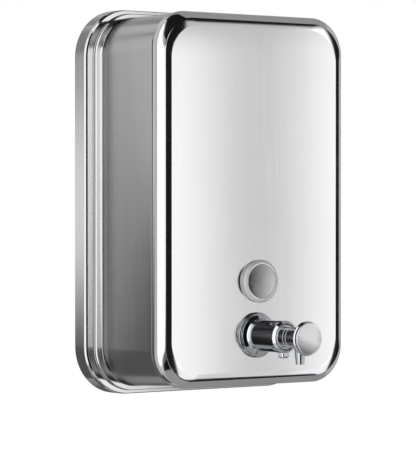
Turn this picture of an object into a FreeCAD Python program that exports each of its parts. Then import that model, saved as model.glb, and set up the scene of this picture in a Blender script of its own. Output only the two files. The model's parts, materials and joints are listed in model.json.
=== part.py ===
import FreeCAD, Part
import math
import os

# Wall mounted soap dispenser: a pressed steel tank that hangs on a wall bracket, filled through a
# lid in its top and emptied by a push valve low on its front.
# Frame: +X to the right seen from the front, +Y into the wall, +Z up.
# Origin: the wall plane, in the middle of the rear rim. All sizes are millimetres.

# ---- Driving dimensions -------------------------------------------------------------------

SHEET = 0.8                # thickness of the pressed steel
GAP = 0.05                 # clearance left round pieces that are pushed together

# Sections of the tank, each a rounded rectangle that faces the user: half width, half height,
# corner radius, the depth from the wall at which it ends and how far its middle is raised.
# First the rear rim and the pressed step in front of it.
RIM = {"half_width": 57.5, "half_height": 80.0, "corner": 20.3, "depth": 7.6, "rise": 0.0}
STEP = {"half_width": 52.9, "half_height": 78.3, "corner": 18.2, "depth": 9.2, "rise": 0.0}
RIM_EDGE_RADIUS = 1.6
STEP_EDGE_RADIUS = 0.8

# Tapered side wall, from the step to the front cover.
WALL_REAR = {"half_width": 50.9, "half_height": 77.0, "corner": 17.0, "depth": 10.6, "rise": 0.0}
WALL_FRONT = {"half_width": 46.9, "half_height": 75.5, "corner": 14.1, "depth": 43.9, "rise": 0.9}

# Front cover.
COVER = {"half_width": 47.9, "half_height": 76.5, "corner": 15.1, "depth": 48.1, "rise": 0.9}
COVER_RIM_DEPTH = 5.1
COVER_EDGE_RADIUS = 4.9
FRONT_Y = -COVER["depth"]

# Heights of the two fittings in the front cover.
WINDOW_Z = -32.6
VALVE_Z = -54.8

# Back of the tank and its hanger.
BACK_PLATE_DEPTH = RIM["depth"] - SHEET
BRACKET_HALF_WIDTH = 34.0
BRACKET_TOP = 44.0
BRACKET_BOTTOM = -71.0
BRACKET_THICKNESS = 1.5
BRACKET_CORNER = 5.0
BRACKET_LIP = 2.6
BRACKET_LIP_TOP = 29.0
WALL_HOLE_RADIUS = 2.5
WALL_HOLE_SPACING_X = 50.0
WALL_HOLE_SPACING_Z = 70.0
WALL_HOLE_CENTRE_Z = -14.0
HOOK_CENTRES_X = (-20.0, 20.0)
HOOK_HALF_WIDTH = 6.0
HOOK_Z = 30.0
HOOK_RISE = 8.0
HOOK_TAB_DEPTHS = (3.8, 5.0)
RAIL_HALF_WIDTH = 30.0
RAIL_DEPTHS = (2.2, 3.4)
RAIL_HEIGHT = 10.5
RAIL_FOOT_HEIGHT = 2.4
RAIL_FOOT_THICKNESS = 0.6
LOCK_DEPTH = 3.6
LOCK_TAB_REACH = 5.6
LOCK_TAB_HALF_WIDTH = 8.0
LOCK_SCREW_RADIUS = 2.0
LOCK_SCREW_LENGTH = 9.0
LOCK_SOCKET_RADIUS = 1.0
LOCK_SOCKET_DEPTH = 2.5

# Filling mouth in the top wall. Its lengths run forward from the rear end of the top wall.
MOUTH_HALF_WIDTH = 24.0
MOUTH_START = 7.0
MOUTH_END = 26.5
MOUTH_CORNER = 5.0
NECK_WALL = 1.2
NECK_DEPTH = 8.0
NECK_FLANGE = 2.6
NECK_FLANGE_THICKNESS = 0.6
LID_HALF_WIDTH = 27.2
LID_START = 4.0
LID_END = 30.0
LID_CORNER = 4.0
LID_THICKNESS = 0.8
LID_SEAT_GAP = 0.1
LID_TAB_HALF_WIDTH = 8.0
LID_TAB_LENGTH = 1.6
LID_TAB_CORNER = 1.4
LID_GASKET_CLEARANCE = 0.4
LID_GASKET_WIDTH = 2.0
LID_GASKET_DEPTH = 1.4
HINGE_FORWARD = 2.4
HINGE_RISE = 1.35
KNUCKLE_RADIUS = 1.1
HINGE_PIN_RADIUS = 0.5
HINGE_PIN_CLEARANCE = 0.05
KNUCKLE_INNER = 7.8
KNUCKLE_GAP = 0.3
KNUCKLE_OUTER = 15.0
HINGE_FOOT_FORWARD = 0.9

# Sight window. Reaches are measured out from the front face of the cover, towards the user.
WINDOW_GASKET_RADIUS = 7.4
WINDOW_GASKET_REACH = 0.8
BEZEL_REAR_RADIUS = 7.6
BEZEL_RADIUS = 9.3
BEZEL_FLARE_REACH = 3.2
BEZEL_EDGE_REACH = 3.8
BEZEL_LIP_RADIUS = 7.3
BEZEL_REACH = 4.6
LENS_RADIUS = 6.9
LENS_SEAT_REACH = 2.4
LENS_EDGE_REACH = 4.1
LENS_SAG = 1.2
LENS_SEAL_REACH = 2.0
SIGHT_BORE_RADIUS = 5.4
WINDOW_SHANK_RADIUS = 6.4
WINDOW_SHANK_REACH = -9.0
WINDOW_HOLE_RADIUS = 6.6
WINDOW_NUT_RADIUS = 9.6
WINDOW_NUT_THICKNESS = 4.0
WINDOW_INNER_GASKET_RADIUS = 8.6
FLAT_GASKET = 1.4

# Push valve.
VALVE_GASKET_RADIUS = 8.6
VALVE_GASKET_REACH = 1.2
FLANGE_RADIUS = 9.4
FLANGE_REACH = 3.0
FLANGE_EDGE_RADIUS = 0.8
SHOULDER_RADIUS = 8.0
SHOULDER_REACH = 4.4
SHOULDER_EDGE_RADIUS = 0.9
BARREL_RADIUS = 6.5
BARREL_REACH = 17.0
SPIGOT_RADIUS = 5.6
SPIGOT_REACH = 18.0
SHANK_RADIUS = 5.5
SHANK_REACH = -25.0
VALVE_HOLE_RADIUS = 5.7
PUMP_BORE_RADIUS = 4.6
PUMP_BORE_FRONT = 9.2
PUMP_BORE_REAR = -22.0
INLET_PORT_RADIUS = 2.5
STEM_RADIUS = 4.3
STEM_GUIDE_RADIUS = 4.35
COLLAR_RADIUS = 6.65
COLLAR_REACH = 21.0
COLLAR_WEB_REAR = 19.2
COLLAR_WEB_FRONT = 20.0
COLLAR_RECESS_RADIUS = 5.5
COLLAR_EDGE_RADIUS = 0.45
COLLAR_SCREW_REACH = 18.9
COLLAR_SCREW_HEAD_RADIUS = 2.2
COLLAR_SCREW_HEAD_HEIGHT = 2.0
COLLAR_SCREW_EDGE_RADIUS = 0.9
COLLAR_SCREW_SLOT_HALF_WIDTH = 0.3
COLLAR_SCREW_SLOT_DEPTH = 0.6
COLLAR_SCREW_SHANK_RADIUS = 1.1
LOCK_NUT_RADIUS = 9.8
LOCK_NUT_THICKNESS = 5.0
VALVE_WASHER_RADIUS = 9.2
VALVE_WASHER_THICKNESS = 1.0

# Plunger: hollow stem, button, nozzle and piston.
STEM_REAR = 9.0
BUTTON_REAR = 33.9
BUTTON_FRONT = 36.0
BUTTON_RADIUS = 7.0
BUTTON_SAG = 0.2
BUTTON_EDGE_RADIUS = 0.35
BUTTON_SPIGOT_LENGTH = 2.6
STEM_BORE_RADIUS = 2.2
STEM_PASSAGE_RADIUS = 1.3
STEM_BORE_STEP = 20.0
STEM_GROOVES = (23.4, 25.2)
STEM_GROOVE_WIDTH = 0.5
STEM_GROOVE_RADIUS = 3.95
NOZZLE_REACH = 29.7
NOZZLE_TOP_RADIUS = 2.6
NOZZLE_TIP_RADIUS = 1.75
NOZZLE_TIP_Z = VALVE_Z - 10.6
NOZZLE_BORE_RADIUS = 0.9
NOZZLE_SPIGOT_RADIUS = 1.5
PISTON_RADIUS = 4.55
PISTON_REAR = 4.0
PISTON_SPIGOT_REACH = 11.0
PISTON_PORT_RADIUS = 1.2
PISTON_RING_REACH = 6.5
PISTON_RING_WIRE = 0.37
PISTON_RING_RADIUS = 4.16
PISTON_GROOVE_RADIUS = 3.75
PISTON_GROOVE_HALF = 0.6
SPRING_RADIUS = 3.75
SPRING_WIRE = 0.4
SPRING_TURNS = 9
OUTLET_BALL_RADIUS = 1.8
BALL_SEAT_GAP = 0.04
OUTLET_SPRING_RADIUS = 1.25
OUTLET_SPRING_WIRE = 0.28
OUTLET_SPRING_TURNS = 4

# Suction side inside the tank.
ELBOW_RADIUS = 7.0
ELBOW_FRONT = -20.5
ELBOW_REAR = -34.0
ELBOW_PASSAGE_RADIUS = 3.0
LEG_REACH = -29.0
LEG_RADIUS = 5.0
LEG_BOTTOM = -67.0
BALL_CHAMBER_RADIUS = 2.6
BALL_SEAT_Z = -60.4
BALL_SEAT_RADIUS = 1.5
BALL_SEAT_THICKNESS = 1.4
INLET_BALL_RADIUS = 2.2
DIP_TUBE_RADIUS = 3.0
DIP_TUBE_BORE = 2.0
DIP_TUBE_BOTTOM = -72.6
STRAINER_RADIUS = 4.4
STRAINER_TOP = -69.6
STRAINER_BOTTOM = -75.0
STRAINER_BORE_RADIUS = 2.5
STRAINER_SLOTS = 6
STRAINER_SLOT_WIDTH = 1.2
STRAINER_SLOT_HEIGHT = 1.6


# ---- Shape helpers ------------------------------------------------------------------------

TINY = 1e-4                # two lengths that differ by less are the same
PAST = 1.0                 # how far a cutting tool runs past the face that it cuts
OVERLAP = 0.5              # how far a piece runs into its neighbour before the two are joined
THROUGH = 4.0              # length of a cut that goes right through a pressed wall
HEX_SIDES = 6
X_AXIS = FreeCAD.Vector(1, 0, 0)
Y_AXIS = FreeCAD.Vector(0, 1, 0)
Z_AXIS = FreeCAD.Vector(0, 0, 1)


def vec(x, y, z):
    return FreeCAD.Vector(x, y, z)


def flat_outline(half_a, half_b, radius, place):
    """Closed rounded rectangle; place(a, b) turns its two flat coordinates into a point."""
    flat_a = half_a - radius
    flat_b = half_b - radius
    diagonal = radius * math.sqrt(0.5)
    corners = [(1, -1), (1, 1), (-1, 1), (-1, -1)]
    edges = []
    for index, (side_a, side_b) in enumerate(corners):
        along_a = place(side_a * half_a, side_b * flat_b)
        along_b = place(side_a * flat_a, side_b * half_b)
        middle = place(side_a * (flat_a + diagonal), side_b * (flat_b + diagonal))
        start, end = (along_b, along_a) if index % 2 == 0 else (along_a, along_b)
        edges.append(Part.Arc(start, middle, end).toShape())
    joined = []
    for index, arc in enumerate(edges):
        following = edges[(index + 1) % len(edges)]
        joined.append(arc)
        arc_end = arc.valueAt(arc.LastParameter)
        next_start = following.valueAt(following.FirstParameter)
        joined.append(Part.makeLine(arc_end, next_start))
    return Part.Wire(joined)


def front_outline(section, depth, inset=0.0):
    """Outline of a section of the tank at a depth from the wall, drawn in by the inset."""
    half_width = section["half_width"] - inset
    half_height = section["half_height"] - inset
    corner = section["corner"] - inset
    return flat_outline(half_width, half_height, corner, lambda a, b: vec(a, -depth, section["rise"] + b))


def front_block(section, start_depth, end_depth, inset=0.0):
    """Prism on one section of the tank, between two depths from the wall."""
    face = Part.Face(front_outline(section, start_depth, inset))
    return face.extrude(vec(0, start_depth - end_depth, 0))


def wall_outline(depth, inset):
    """Outline of the tapered side wall at a depth from the wall."""
    share = (depth - WALL_REAR["depth"]) / (WALL_FRONT["depth"] - WALL_REAR["depth"])
    section = {}
    for key, rear in WALL_REAR.items():
        section[key] = rear + share * (WALL_FRONT[key] - rear)
    return front_outline(section, depth, inset)


def wall_taper(start_depth, end_depth, inset=0.0):
    outlines = [wall_outline(start_depth, inset), wall_outline(end_depth, inset)]
    return Part.makeLoft(outlines, True, True)


def edges_at_depth(shape, depth):
    return [edge for edge in shape.Edges
            if all(abs(vertex.Point.y + depth) < TINY for vertex in edge.Vertexes)]


def rounded_front(block, depth, radius):
    return block.makeFillet(radius, edges_at_depth(block, depth))


def rod(radius, start_reach, end_reach, axis_z):
    """Cylinder across the front cover, between two reaches from its front face."""
    start = vec(0, FRONT_Y - start_reach, axis_z)
    return Part.makeCylinder(radius, end_reach - start_reach, start, -Y_AXIS)


def taper(start_radius, end_radius, start_reach, end_reach, axis_z):
    """Cone across the front cover, between two reaches from its front face."""
    start = vec(0, FRONT_Y - start_reach, axis_z)
    return Part.makeCone(start_radius, end_radius, end_reach - start_reach, start, -Y_AXIS)


def ring(outer_radius, inner_radius, start_reach, end_reach, axis_z):
    hole = rod(inner_radius, start_reach - PAST, end_reach + PAST, axis_z)
    return rod(outer_radius, start_reach, end_reach, axis_z).cut(hole)


def post(radius, low_z, high_z, reach):
    """Upright cylinder at a reach from the front face."""
    return Part.makeCylinder(radius, high_z - low_z, vec(0, FRONT_Y - reach, low_z), Z_AXIS)


def box_between(low, high):
    size = [high[axis] - low[axis] for axis in range(3)]
    return Part.makeBox(size[0], size[1], size[2], vec(low[0], low[1], low[2]))


def hexagon_face(corner_radius, place):
    """Flat hexagon; place(a, b) turns its two flat coordinates into a point."""
    corners = []
    for index in range(HEX_SIDES + 1):
        angle = math.radians(360 * index / HEX_SIDES)
        corners.append(place(corner_radius * math.cos(angle), corner_radius * math.sin(angle)))
    return Part.Face(Part.makePolygon(corners))


def hexagon_bar(corner_radius, start_reach, end_reach, axis_z):
    face = hexagon_face(corner_radius, lambda a, b: vec(a, FRONT_Y - start_reach, axis_z + b))
    return face.extrude(vec(0, start_reach - end_reach, 0))


def circle_edges(shape, radius, reach):
    """Circular edges of one radius whose plane stands at one reach from the front face."""
    return [edge for edge in shape.Edges
            if not edge.Degenerated and edge.Curve.TypeId == "Part::GeomCircle"
            and abs(edge.Curve.Radius - radius) < TINY
            and abs(edge.Curve.Center.y - FRONT_Y + reach) < TINY]


def cap(radius, sag, start_reach, rim_reach, axis_z):
    """Disc with a spherical front: straight sides to rim_reach, then a crown of height sag."""
    sphere_radius = (radius * radius + sag * sag) / (2 * sag)
    half_radius = radius / 2
    half_drop = sphere_radius - math.sqrt(sphere_radius ** 2 - half_radius ** 2)

    def at(distance, reach):
        return vec(distance, FRONT_Y - reach, axis_z)

    top = at(0, rim_reach + sag)
    rim = at(radius, rim_reach)
    crown = Part.Arc(rim, at(half_radius, rim_reach + sag - half_drop), top)
    sides = Part.makePolygon([top, at(0, start_reach), at(radius, start_reach), rim])
    outline = Part.Wire([crown.toShape()] + sides.Edges)
    return Part.Face(outline).revolve(at(0, start_reach), Y_AXIS, 360)


def coil(radius, wire, start_reach, end_reach, turns, axis_z):
    """Round-wire helical spring along the valve axis."""
    length = end_reach - start_reach - 2 * wire
    helix = Part.makeHelix(length / turns, length, radius)
    section = Part.Wire(Part.makeCircle(wire, vec(radius, 0, 0), Y_AXIS))
    spring = Part.Wire(helix.Edges).makePipeShell([section], True, True)
    spring.rotate(vec(0, 0, 0), X_AXIS, 90)
    spring.translate(vec(0, FRONT_Y - start_reach - wire, axis_z))
    return spring


# ---- Pressed tank -------------------------------------------------------------------------

def body_shell():
    outside = rounded_front(front_block(RIM, 0, RIM["depth"]), RIM["depth"], RIM_EDGE_RADIUS)
    step = front_block(STEP, RIM["depth"] - PAST, STEP["depth"])
    outside = outside.fuse(rounded_front(step, STEP["depth"], STEP_EDGE_RADIUS))
    outside = outside.fuse(wall_taper(STEP["depth"] - OVERLAP, WALL_FRONT["depth"]))
    inside = front_block(RIM, -PAST, RIM["depth"] - SHEET, SHEET)
    inside = inside.fuse(front_block(STEP, RIM["depth"] - SHEET - PAST, STEP["depth"] - SHEET, SHEET))
    inside = inside.fuse(wall_taper(STEP["depth"] - SHEET - OVERLAP, WALL_FRONT["depth"] + PAST, SHEET))
    shell = outside.cut(inside)
    shell = shell.cut(mouth_prism(0.0, -THROUGH, THROUGH))
    lock_hole_start = vec(0, -LOCK_DEPTH, -RIM["half_height"] - PAST)
    lock_hole = Part.makeCylinder(LOCK_SCREW_RADIUS + GAP, THROUGH, lock_hole_start, Z_AXIS)
    return shell.cut(lock_hole)


def front_cover():
    start = COVER["depth"] - COVER_RIM_DEPTH
    outside = rounded_front(front_block(COVER, start, COVER["depth"]), COVER["depth"], COVER_EDGE_RADIUS)
    inside = front_block(COVER, start - PAST, COVER["depth"] - SHEET, SHEET)
    inside = rounded_front(inside, COVER["depth"] - SHEET, COVER_EDGE_RADIUS - SHEET)
    cover = outside.cut(inside)
    cover = cover.cut(rod(WINDOW_HOLE_RADIUS, -SHEET - PAST, PAST, WINDOW_Z))
    return cover.cut(rod(VALVE_HOLE_RADIUS, -SHEET - PAST, PAST, VALVE_Z))


def back_plate():
    return front_block(RIM, BACK_PLATE_DEPTH - SHEET, BACK_PLATE_DEPTH, SHEET + GAP)


# ---- Hanger -------------------------------------------------------------------------------

def wall_hole_positions():
    for side_x in (-1, 1):
        for side_z in (-1, 1):
            yield side_x * WALL_HOLE_SPACING_X / 2, WALL_HOLE_CENTRE_Z + side_z * WALL_HOLE_SPACING_Z / 2


def wall_bracket():
    middle = (BRACKET_TOP + BRACKET_BOTTOM) / 2
    half_height = (BRACKET_TOP - BRACKET_BOTTOM) / 2
    plate_outline = flat_outline(BRACKET_HALF_WIDTH, half_height, BRACKET_CORNER,
                                 lambda a, b: vec(a, 0, middle + b))
    bracket = Part.Face(plate_outline).extrude(vec(0, -BRACKET_THICKNESS, 0))
    for side in (-1, 1):
        edge_x = side * BRACKET_HALF_WIDTH
        low_x, high_x = sorted((edge_x, edge_x - side * BRACKET_THICKNESS))
        lip = box_between((low_x, -BRACKET_THICKNESS - BRACKET_LIP, BRACKET_BOTTOM + BRACKET_CORNER),
                          (high_x, 0, BRACKET_LIP_TOP))
        bracket = bracket.fuse(lip)
    for centre in HOOK_CENTRES_X:
        low_x = centre - HOOK_HALF_WIDTH
        high_x = centre + HOOK_HALF_WIDTH
        corner = (low_x, -HOOK_TAB_DEPTHS[1], HOOK_Z)
        ledge = box_between(corner, (high_x, 0, HOOK_Z + BRACKET_THICKNESS))
        tab = box_between(corner, (high_x, -HOOK_TAB_DEPTHS[0], HOOK_Z + HOOK_RISE))
        bracket = bracket.fuse(ledge).fuse(tab)
    lock_tab = box_between((-LOCK_TAB_HALF_WIDTH, -LOCK_TAB_REACH, BRACKET_BOTTOM),
                           (LOCK_TAB_HALF_WIDTH, 0, BRACKET_BOTTOM + 2 * BRACKET_THICKNESS))
    bracket = bracket.fuse(lock_tab)
    lock_hole_start = vec(0, -LOCK_DEPTH, BRACKET_BOTTOM - PAST)
    lock_hole_length = 2 * BRACKET_THICKNESS + 2 * PAST
    lock_hole = Part.makeCylinder(LOCK_SCREW_RADIUS + GAP, lock_hole_length, lock_hole_start, Z_AXIS)
    bracket = bracket.cut(lock_hole)
    for x, z in wall_hole_positions():
        bracket = bracket.cut(Part.makeCylinder(WALL_HOLE_RADIUS, THROUGH, vec(x, PAST, z), -Y_AXIS))
    return bracket.removeSplitter()


def hanger_rail():
    """Strip welded to the back of the tank; its lower edge sits on the hooks of the bracket."""
    low_z = HOOK_Z + BRACKET_THICKNESS
    high_z = low_z + RAIL_HEIGHT
    plate_depth = BACK_PLATE_DEPTH - SHEET
    thickness = RAIL_DEPTHS[1] - RAIL_DEPTHS[0]
    strip_corner = (RAIL_HALF_WIDTH, -RAIL_DEPTHS[0], high_z)
    strip = box_between((-RAIL_HALF_WIDTH, -RAIL_DEPTHS[1], low_z), strip_corner)
    leg_corner = (-RAIL_HALF_WIDTH, -plate_depth, high_z - thickness)
    leg = box_between(leg_corner, strip_corner)
    foot_depth = plate_depth - RAIL_FOOT_THICKNESS
    foot = box_between(leg_corner, (RAIL_HALF_WIDTH, -foot_depth, high_z + RAIL_FOOT_HEIGHT))
    return strip.fuse(leg).fuse(foot).removeSplitter()


def locking_screw():
    """Headless screw that comes up through the bottom of the rim into the bracket."""
    low_z = -RIM["half_height"] + GAP
    screw = Part.makeCylinder(LOCK_SCREW_RADIUS, LOCK_SCREW_LENGTH, vec(0, -LOCK_DEPTH, low_z), Z_AXIS)
    socket = hexagon_face(LOCK_SOCKET_RADIUS, lambda a, b: vec(a, -LOCK_DEPTH + b, low_z))
    return screw.cut(socket.extrude(vec(0, 0, LOCK_SOCKET_DEPTH)))


# ---- Filling mouth ------------------------------------------------------------------------
# These pieces are made level, on the rear end of the top wall, and then tilted to its slope.

TOP_END_Y = -WALL_REAR["depth"]
TOP_END_Z = WALL_REAR["half_height"]
TOP_DROP = TOP_END_Z - WALL_FRONT["half_height"] - WALL_FRONT["rise"]
TOP_SLOPE = math.degrees(math.atan2(TOP_DROP, WALL_FRONT["depth"] - WALL_REAR["depth"]))


def on_top_wall(shape):
    return shape.rotated(vec(0, TOP_END_Y, TOP_END_Z), X_AXIS, TOP_SLOPE)


def level_slab(half_width, start, end, corner, low, high):
    """Rounded slab over the top wall: start and end run forward, low and high are heights."""
    middle = (start + end) / 2
    outline = flat_outline(half_width, (end - start) / 2, corner,
                           lambda a, b: vec(a, TOP_END_Y - middle - b, TOP_END_Z + low))
    return Part.Face(outline).extrude(vec(0, 0, high - low))


def mouth_slab(inset, low, high):
    return level_slab(MOUTH_HALF_WIDTH - inset, MOUTH_START + inset, MOUTH_END - inset,
                      MOUTH_CORNER - inset, low, high)


def mouth_prism(inset, low, high):
    return on_top_wall(mouth_slab(inset, low, high))


def hinge_rod(radius, low_x, high_x):
    centre = vec(low_x, TOP_END_Y - HINGE_FORWARD, TOP_END_Z + HINGE_RISE)
    return Part.makeCylinder(radius, high_x - low_x, centre, X_AXIS)


def fill_neck():
    collar = mouth_slab(GAP, -NECK_DEPTH, -GAP)
    flange_top = -SHEET - GAP
    flange = mouth_slab(-NECK_FLANGE, flange_top - NECK_FLANGE_THICKNESS, flange_top)
    hollow = mouth_slab(GAP + NECK_WALL, -NECK_DEPTH - PAST, PAST)
    return on_top_wall(collar.fuse(flange).cut(hollow))


def fill_lid():
    low = LID_SEAT_GAP
    high = low + LID_THICKNESS
    lid = level_slab(LID_HALF_WIDTH, LID_START, LID_END, LID_CORNER, low, high)
    tab = level_slab(LID_TAB_HALF_WIDTH, LID_END - LID_TAB_LENGTH, LID_END + LID_TAB_LENGTH, LID_TAB_CORNER,
                     low, high)
    lid = lid.fuse(tab)
    for side in (-1, 1):
        low_x, high_x = sorted((side * (KNUCKLE_INNER + KNUCKLE_GAP), side * KNUCKLE_OUTER))
        knuckle = hinge_rod(KNUCKLE_RADIUS, low_x, high_x)
        strap = box_between((low_x, TOP_END_Y - LID_START - PAST, TOP_END_Z + HINGE_RISE - KNUCKLE_RADIUS),
                            (high_x, TOP_END_Y - HINGE_FORWARD, TOP_END_Z + high))
        lid = lid.fuse(knuckle).fuse(strap)
    bore = hinge_rod(HINGE_PIN_RADIUS + HINGE_PIN_CLEARANCE, -KNUCKLE_OUTER - PAST, KNUCKLE_OUTER + PAST)
    return on_top_wall(lid.cut(bore))


def lid_hinge_leaf():
    knuckle = hinge_rod(KNUCKLE_RADIUS, -KNUCKLE_INNER, KNUCKLE_INNER)
    foot = box_between((-KNUCKLE_INNER, TOP_END_Y - HINGE_FORWARD - HINGE_FOOT_FORWARD, TOP_END_Z),
                       (KNUCKLE_INNER, TOP_END_Y - HINGE_FORWARD + KNUCKLE_RADIUS, TOP_END_Z + HINGE_RISE))
    bore = hinge_rod(HINGE_PIN_RADIUS, -KNUCKLE_INNER - PAST, KNUCKLE_INNER + PAST)
    return on_top_wall(knuckle.fuse(foot).cut(bore))


def lid_hinge_pin():
    return on_top_wall(hinge_rod(HINGE_PIN_RADIUS, -KNUCKLE_OUTER, KNUCKLE_OUTER))


def lid_gasket():
    outer = GAP + NECK_WALL + LID_GASKET_CLEARANCE
    plug = mouth_slab(outer, -LID_GASKET_DEPTH, LID_SEAT_GAP)
    hollow = mouth_slab(outer + LID_GASKET_WIDTH, -LID_GASKET_DEPTH - PAST, LID_SEAT_GAP + PAST)
    return on_top_wall(plug.cut(hollow))


# ---- Sight window -------------------------------------------------------------------------

def window_gasket():
    return ring(WINDOW_GASKET_RADIUS, WINDOW_SHANK_RADIUS + GAP, 0, WINDOW_GASKET_REACH, WINDOW_Z)


def window_bezel():
    """Ring that flares away from the cover, ends in a sloped front and carries the lens."""
    bezel = taper(BEZEL_REAR_RADIUS, BEZEL_RADIUS, WINDOW_GASKET_REACH, BEZEL_FLARE_REACH, WINDOW_Z)
    bezel = bezel.fuse(rod(BEZEL_RADIUS, BEZEL_FLARE_REACH, BEZEL_EDGE_REACH, WINDOW_Z))
    bezel = bezel.fuse(taper(BEZEL_RADIUS, BEZEL_LIP_RADIUS, BEZEL_EDGE_REACH, BEZEL_REACH, WINDOW_Z))
    bezel = bezel.fuse(rod(WINDOW_SHANK_RADIUS, WINDOW_SHANK_REACH, WINDOW_GASKET_REACH, WINDOW_Z))
    bezel = bezel.cut(rod(SIGHT_BORE_RADIUS, WINDOW_SHANK_REACH - PAST, BEZEL_REACH + PAST, WINDOW_Z))
    seat = rod(LENS_RADIUS + GAP, LENS_SEAL_REACH, BEZEL_REACH + PAST, WINDOW_Z)
    return bezel.cut(seat)


def window_lens_seal():
    return ring(LENS_RADIUS, SIGHT_BORE_RADIUS, LENS_SEAL_REACH, LENS_SEAT_REACH, WINDOW_Z)


def window_lens():
    return cap(LENS_RADIUS, LENS_SAG, LENS_SEAT_REACH, LENS_EDGE_REACH, WINDOW_Z)


def window_inner_gasket():
    rear = -SHEET - FLAT_GASKET
    return ring(WINDOW_INNER_GASKET_RADIUS, WINDOW_SHANK_RADIUS + GAP, rear, -SHEET, WINDOW_Z)


def window_nut():
    front = -SHEET - FLAT_GASKET
    nut = hexagon_bar(WINDOW_NUT_RADIUS, front - WINDOW_NUT_THICKNESS, front, WINDOW_Z)
    rear = front - WINDOW_NUT_THICKNESS
    return nut.cut(rod(WINDOW_SHANK_RADIUS + GAP, rear - PAST, front + PAST, WINDOW_Z))


# ---- Push valve, fixed pieces -------------------------------------------------------------

def valve_outer_gasket():
    return ring(VALVE_GASKET_RADIUS, SHANK_RADIUS + GAP, 0, VALVE_GASKET_REACH, VALVE_Z)


def valve_body():
    flange = rod(FLANGE_RADIUS, VALVE_GASKET_REACH, FLANGE_REACH, VALVE_Z)
    flange = flange.makeFillet(FLANGE_EDGE_RADIUS, circle_edges(flange, FLANGE_RADIUS, FLANGE_REACH))
    shoulder = rod(SHOULDER_RADIUS, VALVE_GASKET_REACH, SHOULDER_REACH, VALVE_Z)
    shoulder_edges = circle_edges(shoulder, SHOULDER_RADIUS, SHOULDER_REACH)
    shoulder = shoulder.makeFillet(SHOULDER_EDGE_RADIUS, shoulder_edges)
    body = flange.fuse(shoulder)
    body = body.fuse(rod(BARREL_RADIUS, VALVE_GASKET_REACH, BARREL_REACH, VALVE_Z))
    body = body.fuse(rod(SPIGOT_RADIUS, BARREL_REACH - OVERLAP, SPIGOT_REACH, VALVE_Z))
    body = body.fuse(rod(SHANK_RADIUS, SHANK_REACH, VALVE_GASKET_REACH + OVERLAP, VALVE_Z))
    body = body.cut(rod(STEM_GUIDE_RADIUS, PUMP_BORE_FRONT - PAST, SPIGOT_REACH + PAST, VALVE_Z))
    body = body.cut(rod(PUMP_BORE_RADIUS, PUMP_BORE_REAR, PUMP_BORE_FRONT, VALVE_Z))
    return body.cut(rod(INLET_PORT_RADIUS, SHANK_REACH - PAST, PUMP_BORE_REAR + PAST, VALVE_Z))


def valve_inner_gasket():
    return ring(VALVE_WASHER_RADIUS, SHANK_RADIUS + GAP, -SHEET - FLAT_GASKET, -SHEET, VALVE_Z)


def valve_washer():
    front = -SHEET - FLAT_GASKET
    return ring(VALVE_WASHER_RADIUS, SHANK_RADIUS + GAP, front - VALVE_WASHER_THICKNESS, front, VALVE_Z)


def valve_lock_nut():
    front = -SHEET - FLAT_GASKET - VALVE_WASHER_THICKNESS
    nut = hexagon_bar(LOCK_NUT_RADIUS, front - LOCK_NUT_THICKNESS, front, VALVE_Z)
    return nut.cut(rod(SHANK_RADIUS + GAP, front - LOCK_NUT_THICKNESS - PAST, front + PAST, VALVE_Z))


def end_collar():
    collar = rod(COLLAR_RADIUS, BARREL_REACH, COLLAR_REACH, VALVE_Z)
    front_edges = circle_edges(collar, COLLAR_RADIUS, COLLAR_REACH)
    rear_edges = circle_edges(collar, COLLAR_RADIUS, BARREL_REACH)
    collar = collar.makeFillet(COLLAR_EDGE_RADIUS, front_edges + rear_edges)
    collar = collar.cut(rod(SPIGOT_RADIUS + GAP, BARREL_REACH - PAST, COLLAR_WEB_REAR, VALVE_Z))
    collar = collar.cut(rod(STEM_GUIDE_RADIUS, BARREL_REACH - PAST, COLLAR_REACH + PAST, VALVE_Z))
    collar = collar.cut(rod(COLLAR_RECESS_RADIUS, COLLAR_WEB_FRONT, COLLAR_REACH + PAST, VALVE_Z))
    screw_hole_low = VALVE_Z - COLLAR_RADIUS - PAST
    screw_hole_high = VALVE_Z - SPIGOT_RADIUS
    screw_hole = post(COLLAR_SCREW_SHANK_RADIUS + GAP, screw_hole_low, screw_hole_high, COLLAR_SCREW_REACH)
    return collar.cut(screw_hole)


def stem_seal():
    return ring(SPIGOT_RADIUS, STEM_GUIDE_RADIUS, SPIGOT_REACH, COLLAR_WEB_REAR, VALVE_Z)


def collar_screw():
    """Round-headed screw under the collar, with a driver slot across its head."""
    top = VALVE_Z - COLLAR_RADIUS
    bottom = top - COLLAR_SCREW_HEAD_HEIGHT
    head = post(COLLAR_SCREW_HEAD_RADIUS, bottom, top, COLLAR_SCREW_REACH)
    bottom_edges = [edge for edge in head.Edges
                    if edge.Curve.TypeId == "Part::GeomCircle" and abs(edge.Curve.Center.z - bottom) < TINY]
    head = head.makeFillet(COLLAR_SCREW_EDGE_RADIUS, bottom_edges)
    middle_y = FRONT_Y - COLLAR_SCREW_REACH
    slot_end_x = COLLAR_SCREW_HEAD_RADIUS + PAST
    slot_top = bottom + COLLAR_SCREW_SLOT_DEPTH
    slot = box_between((-slot_end_x, middle_y - COLLAR_SCREW_SLOT_HALF_WIDTH, bottom - PAST),
                       (slot_end_x, middle_y + COLLAR_SCREW_SLOT_HALF_WIDTH, slot_top))
    shank_top = VALVE_Z - SPIGOT_RADIUS - 2 * GAP
    shank = post(COLLAR_SCREW_SHANK_RADIUS, top - OVERLAP, shank_top, COLLAR_SCREW_REACH)
    return head.cut(slot).fuse(shank)


# ---- Push valve, moving plunger -----------------------------------------------------------

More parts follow.
